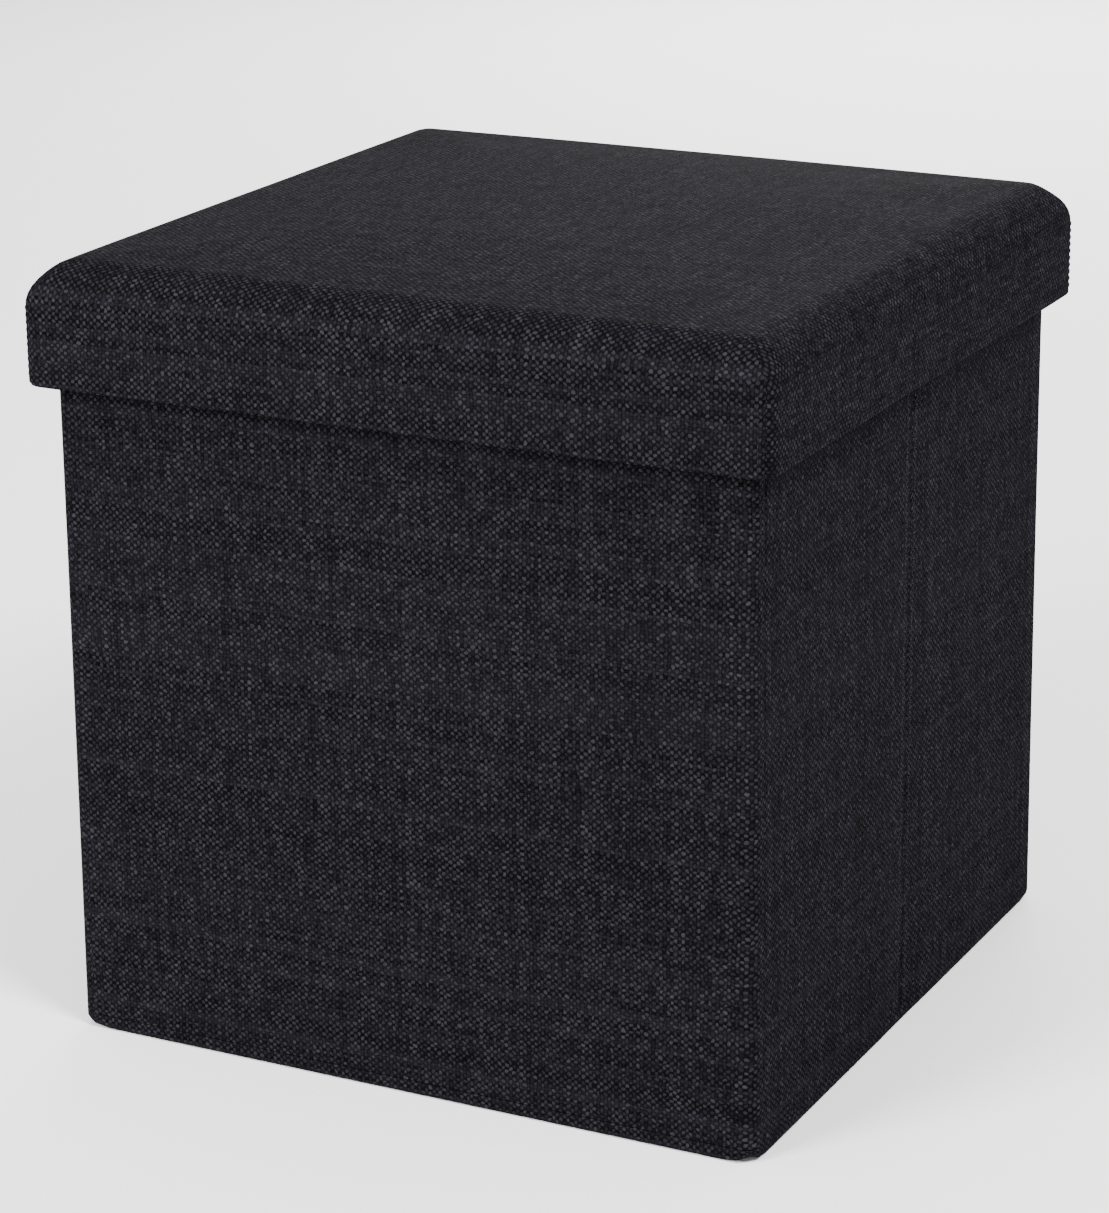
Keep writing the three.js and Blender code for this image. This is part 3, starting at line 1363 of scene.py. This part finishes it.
    def _ribbon(self, material: Material) -> Piece:
        """Pull ribbon that lies on the base board.

        Args:
            material: Its finish.

        Returns:
            The new piece.
        """
        low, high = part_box("pull_ribbon")
        half = (high.x - low.x) / 2
        draft = Draft()
        columns, count = 10, 36

        def spot(k: int, i: int) -> tuple[Point, Place]:
            """A point of the ribbon, which waves a little and ends in a half round.

            Args:
                k: Number of its row.
                i: Number of its column.

            Returns:
                The point, and its place on the flat ribbon.
            """
            along = (high.y - low.y) * k / count
            tip = max(0.0, along - (high.y - low.y - half))
            width = math.sqrt(max(0.0, half * half - tip * tip)) if tip else half
            x = max(width, 0.4 * MM) * (i / columns * 2 - 1)
            lift = 0.12 * MM * (1 + math.sin(along * 190))
            return (x, high.y - along, low.z + 0.1 * MM + lift), (x, along)

        draft.grid(count, columns, spot)
        ribbon = draft.build("pull_ribbon_tape", material)
        thicken(ribbon, self.ribbon_thickness, 1.0)
        fit(ribbon, "back_wall", Slot.RIBBON, "pull_ribbon")
        return ribbon


def rounded_square(half: float, radius: float, columns: int) -> list[tuple[float, float, float]]:
    """A square with rounded corners, anticlockwise from the left end of its front.

    Args:
        half: Half its width.
        radius: Radius of its corners.
        columns: Steps along each straight side.

    Returns:
        (x, y, distance round it) of each point, without the last one.
    """
    points: list[tuple[float, float, float]] = []
    straight = half - radius
    steps = 6
    run = -straight
    for turn in range(4):
        spin = Matrix.Rotation(math.radians(90 * (turn - 1)), 2)
        for i in range(columns):
            spot = spin @ Vector((half, -straight + 2 * straight * i / columns))
            points.append((spot.x, spot.y, run + 2 * straight * i / columns))
        run += 2 * straight
        for i in range(steps):
            angle = math.radians(90 * i / steps)
            spot = spin @ Vector((straight + radius * math.cos(angle), straight + radius * math.sin(angle)))
            points.append((spot.x, spot.y, run + radius * angle))
        run += radius * math.pi / 2
    return points


def level_sheet(
    name: str, half: float, radius: float, up: float, sag: float, seed: float, material: Material
) -> Piece:
    """A level square sheet of cloth that sags and swells a little away from its edges.

    Args:
        name: Name of the piece.
        half: Half its width.
        radius: Radius of its corners.
        up: Its height.
        sag: Depth of its unevenness.
        seed: Picks the pattern.
        material: Its finish.

    Returns:
        The sheet, one layer thick.
    """
    draft = Draft()
    rows, places = [], []
    rings = 26
    for k in range(rings + 1):
        reach = half * (1 - k / rings) + 0.5 * MM * k / rings
        ring = [(x, y) for x, y, _ in rounded_square(reach, max(radius - half + reach, reach * 0.02), 36)]
        sink = sag * smoothstep(0, 30 * MM, half - reach)
        rows.append(draft.ring([(x, y, up - sink * (1 + wrinkle(x, y, seed, 60 * MM))) for x, y in ring]))
        places.append(ring + ring[:1])
    draft.strip(rows, places)
    draft.face(rows[-1][:-1], places[-1][:-1])
    return draft.build(name, material)


# ------------------------------------------------------------------------------
# The lid
# ------------------------------------------------------------------------------


@dataclass
class PaddedTop:
    """The lid's padded shape: a flat top, rounded upper edges and an upright skirt."""

    half: float
    foot: float
    top: float
    edge_radius: float
    corner_radius: float
    crown: float
    cells: int = 56
    edge_steps: int = 10
    corner_steps: int = 6  # on each side of a corner's seam
    seam_depth: float = 0.9 * MM
    seam_reach: float = 2.2 * MM
    dent: tuple[float, float] = (0.55 * MM, 110 * MM)  # depth and width of the padding's broad unevenness
    fine_dent: tuple[float, float] = (0.18 * MM, 35 * MM)
    seams: dict[tuple[int, int], int] = field(default_factory=dict)  # points on the seams, by turn and ring

    def crown_at(self, x: float, y: float) -> float:
        """Height of the padding's swell over the flat top.

        Args:
            x: Distance from the lid's middle.
            y: Distance from the lid's middle.

        Returns:
            Height of the swell, in metres.
        """
        reach = self.half - 0.35 * self.edge_radius
        fall_x = 1 - min(1.0, abs(x) / reach) ** 3.0
        fall_y = 1 - min(1.0, abs(y) / reach) ** 3.0
        return self.crown * (fall_x * fall_y) ** 0.75

    def levels(self, depths: Sequence[float]) -> list[tuple[float, float, float]]:
        """(how far out from the flat, height, length of cloth from the flat) of each ring.

        Args:
            depths: Depths of the skirt's rings below the rounded edge.

        Returns:
            The rings, from the flat's edge down.
        """
        rings = []
        r = self.edge_radius
        for i in range(1, self.edge_steps + 1):
            angle = math.radians(90 * i / self.edge_steps)
            rings.append((r * math.sin(angle), self.top - r * (1 - math.cos(angle)), r * angle))
        run = r * math.pi / 2
        rings += [(r, self.top - r - depth, run + depth) for depth in depths]
        return rings

    def build(self, draft: Draft, rings: Sequence[tuple[float, float, float]]) -> list[int]:
        """Adds the top and its rings.

        Args:
            draft: Mesh to add to.
            rings: (how far out, height, length of cloth) of each ring, from the flat's edge down.

        Returns:
            The level of each point: 0 on the flat, then 1 up for each ring.
        """
        flat = self.half - self.edge_radius
        n = self.cells
        levels: list[int] = []
        rows, places = [], []
        for k in range(n + 1):
            y = flat * (2 * k / n - 1)
            row = [flat * (2 * i / n - 1) for i in range(n + 1)]
            rows.append(draft.add([(x, y, self.top + self.crown_at(x, y) + self._dent(x, y)) for x in row]))
            places.append([(x, y) for x in row])
            levels += [0] * (n + 1)
        draft.strip(rows, places)
        for turn in range(4):
            self._side(draft, rows, rings, turn, levels)
        return levels

    def _dent(self, x: float, y: float) -> float:
        """Unevenness of the padding."""
        broad, fine = self.dent, self.fine_dent
        return broad[0] * wrinkle(x, y, 2.0, broad[1]) + fine[0] * wrinkle(x, y, 12.0, fine[1])

    def _side(
        self,
        draft: Draft,
        grid: Sequence[Sequence[int]],
        rings: Sequence[tuple[float, float, float]],
        turn: int,
        levels: list[int],
    ) -> None:
        """One side's cloth, from seam to seam: right, back, left or front by quarter turns.

        Args:
            draft: Mesh to add to.
            grid: Numbers of the flat's points, by row.
            rings: (how far out, height, length of cloth) of each ring.
            turn: Number of the side, counted in quarter turns from the right one.
            levels: Level of each point, which grows with the points.
        """
        n, m = self.cells, self.corner_steps
        flat = self.half - self.edge_radius
        edges = [
            [grid[k][n] for k in range(n + 1)],
            [grid[n][n - k] for k in range(n + 1)],
            [grid[n - k][0] for k in range(n + 1)],
            [grid[0][k] for k in range(n + 1)],
        ]
        spin = Matrix.Rotation(math.radians(90 * turn), 2)
        first = [edges[turn][0]] * m + list(edges[turn]) + [edges[turn][n]] * m
        steps = [flat * (2 * k / n - 1) for k in range(n + 1)]
        rows = [first]
        around = [[-flat] * m + steps + [flat] * m]
        for reach, up, _ in rings:
            share = min(1.0, reach / self.edge_radius)
            radius = reach + (self.corner_radius - reach) * smoothstep(0.45, 1.0, share)
            straight = flat + reach - radius
            points, lengths = [], []
            for j in range(n + 1 + 2 * m):
                along, out, nx, ny = self._spot(j, steps, flat, straight, reach, radius)
                bulge = self._skirt_bulge(along, up, turn)
                crown = self.crown_at(flat + reach, along) * (1 - share)
                spot = spin @ Vector((flat + out + nx * bulge, along + ny * bulge))
                points.append((spot.x, spot.y, up + crown))
                lengths.append(self._round(j, along, straight, radius))
            rows.append(self._join_corners(draft, points, turn, len(rows)))
            around.append(lengths)
            levels += [len(rows) - 1] * (len(draft.points) - len(levels))
        runs = [0.0] + [run for *_, run in rings]
        places = []
        for lengths, run in zip(around, runs):
            places.append([tuple(spin @ Vector((flat + run, length))) for length in lengths])
        draft.strip(rows[::-1], places[::-1])

    def _spot(
        self, j: int, steps: Sequence[float], flat: float, straight: float, reach: float, radius: float
    ) -> tuple[float, float, float, float]:
        """Place of a ring's point on a side, as (along, out from the flat's edge, outward normal).

        Args:
            j: Number of the point on its ring.
            steps: Places of the flat's points along the side.
            flat: Half the flat's width.
            straight: Half the ring's straight length.
            reach: How far the ring is out from the flat.
            radius: Radius of the ring's corners.

        Returns:
            Place along the side, place outwards, and the two parts of the normal.
        """
        n, m = self.cells, self.corner_steps
        if m <= j <= m + n:
            return steps[j - m] / flat * straight, reach, 1.0, 0.0
        sign = -1 if j < m else 1
        turned = (m - j if j < m else j - m - n) / m * math.radians(45)
        along = sign * (straight + radius * math.sin(turned))
        out = reach - radius * (1 - math.cos(turned))
        near = smoothstep(1.0, 0.0, (math.radians(45) - turned) * max(radius, MM) / self.seam_reach)
        dip = self.seam_depth * near * min(1.0, reach / self.edge_radius)
        nx, ny = math.cos(turned), sign * math.sin(turned)
        return along - ny * dip, out - nx * dip, nx, ny

    def _round(self, j: int, along: float, straight: float, radius: float) -> float:
        """Length of cloth along a ring, from the side's middle.

        Args:
            j: Number of the point on its ring.
            along: Its distance along the side.
            straight: Half the ring's straight length.
            radius: Radius of the ring's corners.

        Returns:
            The length, in metres.
        """
        n, m = self.cells, self.corner_steps
        if m <= j <= m + n:
            return along
        turned = (m - j if j < m else j - m - n) / m * math.radians(45)
        return math.copysign(straight + radius * turned, along)

    def _skirt_bulge(self, along: float, up: float, turn: int) -> float:
        """Unevenness of the skirt, outwards."""
        ends = smoothstep(0, 30 * MM, self.half - abs(along))
        return ends * 0.35 * MM * (wrinkle(along, up, 20.0 + turn, 70 * MM) + 0.4)

    def _join_corners(self, draft: Draft, points: list[Point], turn: int, ring: int) -> list[int]:
        """Adds a ring's points on one side, sharing the two on the seams with the neighbouring sides.

        Args:
            draft: Mesh to add to.
            points: The ring's points on this side.
            turn: Number of the side, counted in quarter turns from the right one.
            ring: Number of the ring.

        Returns:
            Numbers of the ring's points on this side.
        """
        first = self.seams.get((turn, ring))
        last = self.seams.get(((turn + 1) % 4, ring))
        head = [] if first is None else [first]
        tail = [] if last is None else [last]
        middle = draft.add(points[len(head) : len(points) - len(tail)])
        numbers = head + middle + tail
        self.seams[(turn, ring)] = numbers[0]
        self.seams[((turn + 1) % 4, ring)] = numbers[-1]
        return numbers


@dataclass
class Lid:
    """The lift-off lid: cover, foam, boards, lining and stitching."""

    crown: float = 2.0 * MM
    swell: float = 3.2 * MM
    edge_radius: float = 21.0 * MM
    corner_radius: float = 9.0 * MM
    hem_radius: float = 1.4 * MM
    inside_turn: float = 9.0 * MM  # how far the cover turns up inside the rim
    cover_thickness: float = 0.35 * MM
    lining_thickness: float = 0.3 * MM
    lining_radius: float = 2.5 * MM  # rounding between the lining's top and its sides

    def __post_init__(self) -> None:
        """Reads the lid's size from the frame."""
        self.low, self.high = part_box("lid_cover")
        self.half = self.high.x

    def build(self, wardrobe: Wardrobe) -> list[Piece]:
        """Makes the soft pieces and dresses the boards.

        Args:
            wardrobe: The finishes.

        Returns:
            The new pieces.
        """
        for name in ("lid_board", "lid_rim_front", "lid_rim_back", "lid_rim_left", "lid_rim_right"):
            dress(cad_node(name), wardrobe.board)
        return [
            self._cover(wardrobe.fabric),
            self._foam(wardrobe.foam),
            self._lining(wardrobe.lining),
            self._seam_stitches(wardrobe.thread),
        ]

    def _shape(self, inset: float, foot: float, cells: int) -> PaddedTop:
        """The padded shape shrunk by an inset.

        Args:
            inset: How much smaller on every side.
            foot: Height of its lower edge.
            cells: Cells along one side of the flat.

        Returns:
            The shape.
        """
        return PaddedTop(
            self.half - inset,
            foot,
            self.high.z - inset,
            self.edge_radius - inset,
            self.corner_radius - inset,
            self.crown,
            cells,
        )

    def _cover(self, fabric: Material) -> Piece:
        """The woven cover, with its skirt turned under the rim.

        Args:
            fabric: The woven fabric.

        Returns:
            The new piece.
        """
        shape = self._shape(0.0, self.low.z, 56)
        skirt = shape.top - shape.edge_radius - self.low.z
        rows = 9
        rings = shape.levels([(skirt - self.hem_radius) * (i + 1) / rows for i in range(rows)])
        r = self.hem_radius
        run = rings[-1][2]
        reach = shape.edge_radius
        for i, (cosine, sine) in enumerate(quarter(5), 1):
            turned = r * math.radians(90 * i / 5)
            rings.append((reach - r * (1 - cosine), self.low.z + r * (1 - sine), run + turned))
        _, lining_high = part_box("lid_lining")
        inner = lining_high.x - (self.half - reach) - 0.45 * MM
        run = rings[-1][2]
        rings.append((inner + r, self.low.z, run + 3 * MM))
        rings.append((inner, self.low.z + r, run + 5 * MM))
        rings.append((inner, self.low.z + self.inside_turn, run + 5 * MM + self.inside_turn))
        draft = Draft()
        levels = shape.build(draft, rings)
        cover = draft.build("lid_cover_fabric", fabric)
        hold = [smoothstep(shape.edge_steps, shape.edge_steps + 5, level) for level in levels]
        inflate(cover, hold, self.swell)
        thicken(cover, self.cover_thickness)
        fit(cover, "lid", Slot.FABRIC, "lid_cover")
        return cover

    def _foam(self, material: Material) -> Piece:
        """The foam pad under the cover.

        Args:
            material: Its finish.

        Returns:
            The new piece.
        """
        low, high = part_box("lid_foam")
        inset = self.half - high.x + 0.3 * MM
        shape = self._shape(inset, low.z, 28)
        depth = shape.top - shape.edge_radius - low.z
        draft = Draft()
        rings = shape.levels([depth])
        shape.build(draft, rings)
        foam = draft.build("lid_foam_pad", material)
        close_holes(foam)
        fit(foam, "lid", Slot.FOAM, "lid_foam")
        return foam

    def _lining(self, material: Material) -> Piece:
        """Lining under the board and inside the rim.

        Args:
            material: Its finish.

        Returns:
            The new piece.
        """
        low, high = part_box("lid_lining")
        half = high.x - 0.3 * MM
        top = high.z - 0.2 * MM
        draft = Draft()
        radius = self.lining_radius
        profile = [(half, low.z + 4 * MM), (half, (low.z + top) / 2), (half, top - radius)]
        profile += [(half - radius * (1 - cosine), top - radius * (1 - sine)) for cosine, sine in quarter(4)]
        for share in (0.97, 0.9, 0.8, 0.68, 0.55, 0.42, 0.3, 0.18, 0.08, 0.01):
            profile.append((half * share, top))
        rows, places = [], []
        for reach, up in profile:
            ring = rounded_square(reach, min(2 * MM, reach / 2), 40)
            sag = 0.25 * MM * smoothstep(half, half * 0.8, reach)
            points = [(x, y, up - sag * (1 + wrinkle(x, y, 31.0, 70 * MM))) for x, y, _ in ring]
            rows.append(draft.ring(points))
            flat = reach + max(0.0, top - up)
            scale = flat / max(reach, 1e-6)
            row_places = [(x * scale, y * scale) for x, y, _ in ring]
            places.append(row_places + row_places[:1])
        draft.strip(rows, places)
        draft.face(rows[-1][:-1], places[-1][:-1])
        lining = draft.build("lid_lining_cloth", material)
        thicken(lining, self.lining_thickness, 1.0)
        fit(lining, "lid", Slot.LINING, "lid_lining")
        (2 * (half + top - profile[0][1]),) * 2
        return lining

    def _seam_stitches(self, material: Material) -> Piece:
        """Topstitching beside the seam at each upright corner of the skirt.

        Args:
            material: Its finish.

        Returns:
            The new piece.
        """
        draft = Draft()
        row = StitchRow(length=2.6 * MM)
        straight = self.half - self.corner_radius
        angle = math.radians(45 - 24)
        for turn in range(4):
            spin = Matrix.Rotation(math.radians(90 * turn), 3, "Z")
            out = Vector((math.cos(angle), math.sin(angle), 0))
            base = Vector((straight, straight, 0)) + out * (self.corner_radius - 0.05 * MM)
            low = Vector((base.x, base.y, self.low.z + 3 * MM))
            high = Vector((base.x, base.y, self.high.z - self.edge_radius + 1 * MM))
            row.sew(draft, spin @ low, spin @ high, spin @ out)
        stitches = draft.build("lid_seam_stitches", material)
        fit(stitches, "lid", Slot.FABRIC)
        return stitches


def inflate(piece: Piece, hold: Sequence[float], cap: float, pressure: float = 4.0) -> None:
    """Presses a cover outwards from within, as its padding does.

    Args:
        piece: The cover, one layer thick.
        hold: How firmly each of its points is held, from 0 to 1.
        cap: Furthest that a point moves, in metres.
        pressure: Cloth pressure.
    """
    group = piece.vertex_groups.new(name="held")
    for number, weight in enumerate(hold):
        group.add([number], weight, "REPLACE")
    modifier = piece.modifiers.new("padding", "CLOTH")
    cloth = modifier.settings
    cloth.quality = 6
    cloth.mass = 0.3
    cloth.tension_stiffness = cloth.compression_stiffness = 40.0
    cloth.shear_stiffness = 12.0
    cloth.bending_stiffness = 1.0
    cloth.use_pressure = True
    cloth.uniform_pressure_force = pressure
    cloth.vertex_group_mass = group.name
    cloth.effector_weights.gravity = 0.0
    modifier.collision_settings.use_collision = False
    scene = bpy.context.scene
    for frame in range(1, CLOTH_FRAMES + 1):
        scene.frame_set(frame)
    shown = piece.evaluated_get(bpy.context.evaluated_depsgraph_get()).to_mesh()
    rest, blown = (np.empty(len(mesh.vertices) * 3, np.float32) for mesh in (piece.data, shown))
    piece.data.vertices.foreach_get("co", rest)
    shown.vertices.foreach_get("co", blown)
    piece.modifiers.clear()
    piece.vertex_groups.clear()
    scene.frame_set(1)
    normals = np.array([vertex.normal[:] for vertex in piece.data.vertices], np.float32)
    out = np.einsum("ij,ij->i", (blown - rest).reshape(-1, 3), normals)
    log.info("%s: padding pressed it out by up to %.1f mm, kept to %.1f", piece.name, out.max() / MM, cap / MM)
    move = normals * (np.maximum(out, 0.0) * min(1.0, cap / out.max()))[:, None]
    piece.data.vertices.foreach_set("co", (rest + move.ravel()).astype(np.float32))
    piece.data.update()


def close_holes(piece: Piece) -> None:
    """Closes the open edge of a mesh with one face.

    Args:
        piece: A piece whose one open edge lies flat.
    """
    mesh = bmesh.new()
    mesh.from_mesh(piece.data)
    edges = [edge for edge in mesh.edges if edge.is_boundary]
    bmesh.ops.contextual_create(mesh, geom=edges)
    bmesh.ops.recalc_face_normals(mesh, faces=mesh.faces)
    mesh.to_mesh(piece.data)
    mesh.free()


# ------------------------------------------------------------------------------
# Studio
# ------------------------------------------------------------------------------


@dataclass
class Studio:
    """Camera, lights and floor."""

    azimuth: float = 27.06
    elevation: float = 18.18
    roll: float = -0.57
    lens: float = 114.6
    distance: float = 1.978
    slide: tuple[float, float] = (-0.0104, 0.1786)  # camera's move to its right and up, in metres
    surround: float = 1.25
    lamps: tuple[tuple[str, Point, float, float], ...] = (
        ("key", (-1.4, -3.0, 1.95), 1.3, 245.0),
        ("fill", (2.0, -0.9, 2.8), 0.9, 195.0),
        ("back", (-0.8, 3.0, 1.3), 1.5, 90.0),
    )

    def build(self, wardrobe: Wardrobe) -> None:
        """Sets the stage.

        Args:
            wardrobe: The finishes.
        """
        self._camera()
        self._floor(wardrobe.floor)
        self._lights()

    def _camera(self) -> None:
        """The camera, at its viewing angle."""
        data = bpy.data.cameras.new("camera")
        data.sensor_width = 36.0
        data.lens = self.lens
        data.clip_start, data.clip_end = 0.05, 50.0
        camera = bpy.data.objects.new("camera", data)
        azimuth, elevation = math.radians(self.azimuth), math.radians(self.elevation)
        level_out = math.cos(elevation)
        back = Vector((math.sin(azimuth) * level_out, -math.cos(azimuth) * level_out, math.sin(elevation)))
        level = back.to_track_quat("Z", "Y").to_matrix()
        turned = level @ Matrix.Rotation(math.radians(self.roll), 3, "Z")
        right, up = turned.col[0], turned.col[1]
        camera.location = back * self.distance + right * self.slide[0] + up * self.slide[1]
        camera.rotation_mode = "QUATERNION"
        camera.rotation_quaternion = turned.to_quaternion()
        bpy.context.scene.collection.objects.link(camera)
        bpy.context.scene.camera = camera

    def _floor(self, material: Material) -> None:
        """A wide pale floor.

        Args:
            material: Its finish.
        """
        draft = Draft()
        reach = 12.0
        corners = [(-reach, -reach, 0), (reach, -reach, 0), (reach, reach, 0), (-reach, reach, 0)]
        draft.face(draft.add(corners), [(x, y) for x, y, _ in corners])
        floor = draft.build("floor", material, smooth=False)
        floor.location.z = -0.2 * MM

    def _lights(self) -> None:
        """Soft light from above, the left and the right, and a pale surround."""
        for lamp in self.lamps:
            self._area(*lamp)
        world = bpy.data.worlds.new("surround")
        world.use_nodes = True
        background = world.node_tree.nodes["Background"]
        background.inputs["Color"].default_value = (1.0, 1.0, 1.0, 1.0)
        background.inputs["Strength"].default_value = self.surround
        bpy.context.scene.world = world

    @staticmethod
    def _area(name: str, place: Point, size: float, power: float) -> None:
        """A square soft light aimed at the ottoman.

        Args:
            name: Its name.
            place: Where it hangs, in metres.
            size: Length of its side, in metres.
            power: Its power, in watts.
        """
        data = bpy.data.lights.new(name, "AREA")
        data.shape = "SQUARE"
        data.size = size
        data.energy = power
        light = bpy.data.objects.new(name, data)
        light.location = place
        light.visible_camera = False
        aim = Vector((0, 0, 0.2)) - Vector(place)
        light.rotation_mode = "QUATERNION"
        light.rotation_quaternion = aim.to_track_quat("-Z", "Y")
        bpy.context.scene.collection.objects.link(light)


# ------------------------------------------------------------------------------
# Assembly
# ------------------------------------------------------------------------------

def build_box(wardrobe: Wardrobe) -> None:
    """Makes the walls, their hinges and the foot of the box.

    Args:
        wardrobe: The finishes.
    """
    panels = {
        "front": WallPanel("front", "front_wall", "front", END_RADIUS, END_RADIUS),
        "back": WallPanel("back", "back_wall", "back", END_RADIUS, END_RADIUS),
        "right_front_half": WallPanel("right_front_half", "right_front_half", "right", BUTT_RADIUS, CREASE_RADIUS),
        "right_rear_half": WallPanel("right_rear_half", "right_rear_half", "right", CREASE_RADIUS, BUTT_RADIUS),
        "left_rear_half": WallPanel("left_rear_half", "left_rear_half", "left", BUTT_RADIUS, CREASE_RADIUS),
        "left_front_half": WallPanel("left_front_half", "left_front_half", "left", CREASE_RADIUS, BUTT_RADIUS),
    }
    rows = {
        "right_front_half": -CREASE_STITCH,
        "right_rear_half": CREASE_STITCH,
        "left_rear_half": -CREASE_STITCH,
        "left_front_half": CREASE_STITCH,
    }
    for name, panel in panels.items():
        report(*panel.build(wardrobe), PanelStitching(panel, rows.get(name, 0.0)).build(wardrobe))
    crease = {"below": 0.75 * MM, "groove": 0.3 * MM}
    strips = [
        HingeStrip("right_rear_corner_hinge", ("back_wall", "right_rear_half"), "right"),
        HingeStrip("right_crease_hinge", ("right_rear_half", "right_front_half"), "right", **crease),
        HingeStrip("right_front_corner_hinge", ("front_wall", "right_front_half"), "right"),
        HingeStrip("left_rear_corner_hinge", ("back_wall", "left_rear_half"), "left"),
        HingeStrip("left_front_corner_hinge", ("front_wall",), "left"),
        HingeStrip("left_crease_hinge", ("left_rear_half", "left_front_half"), "left", **crease),
    ]
    for strip in strips:
        report(strip.build(wardrobe))
    report(*Foot().build(wardrobe))


def report(*pieces: Piece) -> None:
    """Logs each piece."""
    for piece in pieces:
        log.info("%s: %d faces", piece.name, len(piece.data.polygons))


def main() -> None:
    """Builds the ottoman piece by piece."""
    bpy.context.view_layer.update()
    wardrobe = Wardrobe()
    Studio().build(wardrobe)
    build_box(wardrobe)
    report(*Lid().build(wardrobe))


if __name__ == "__main__":
    logging.basicConfig(level=logging.INFO)
    main()
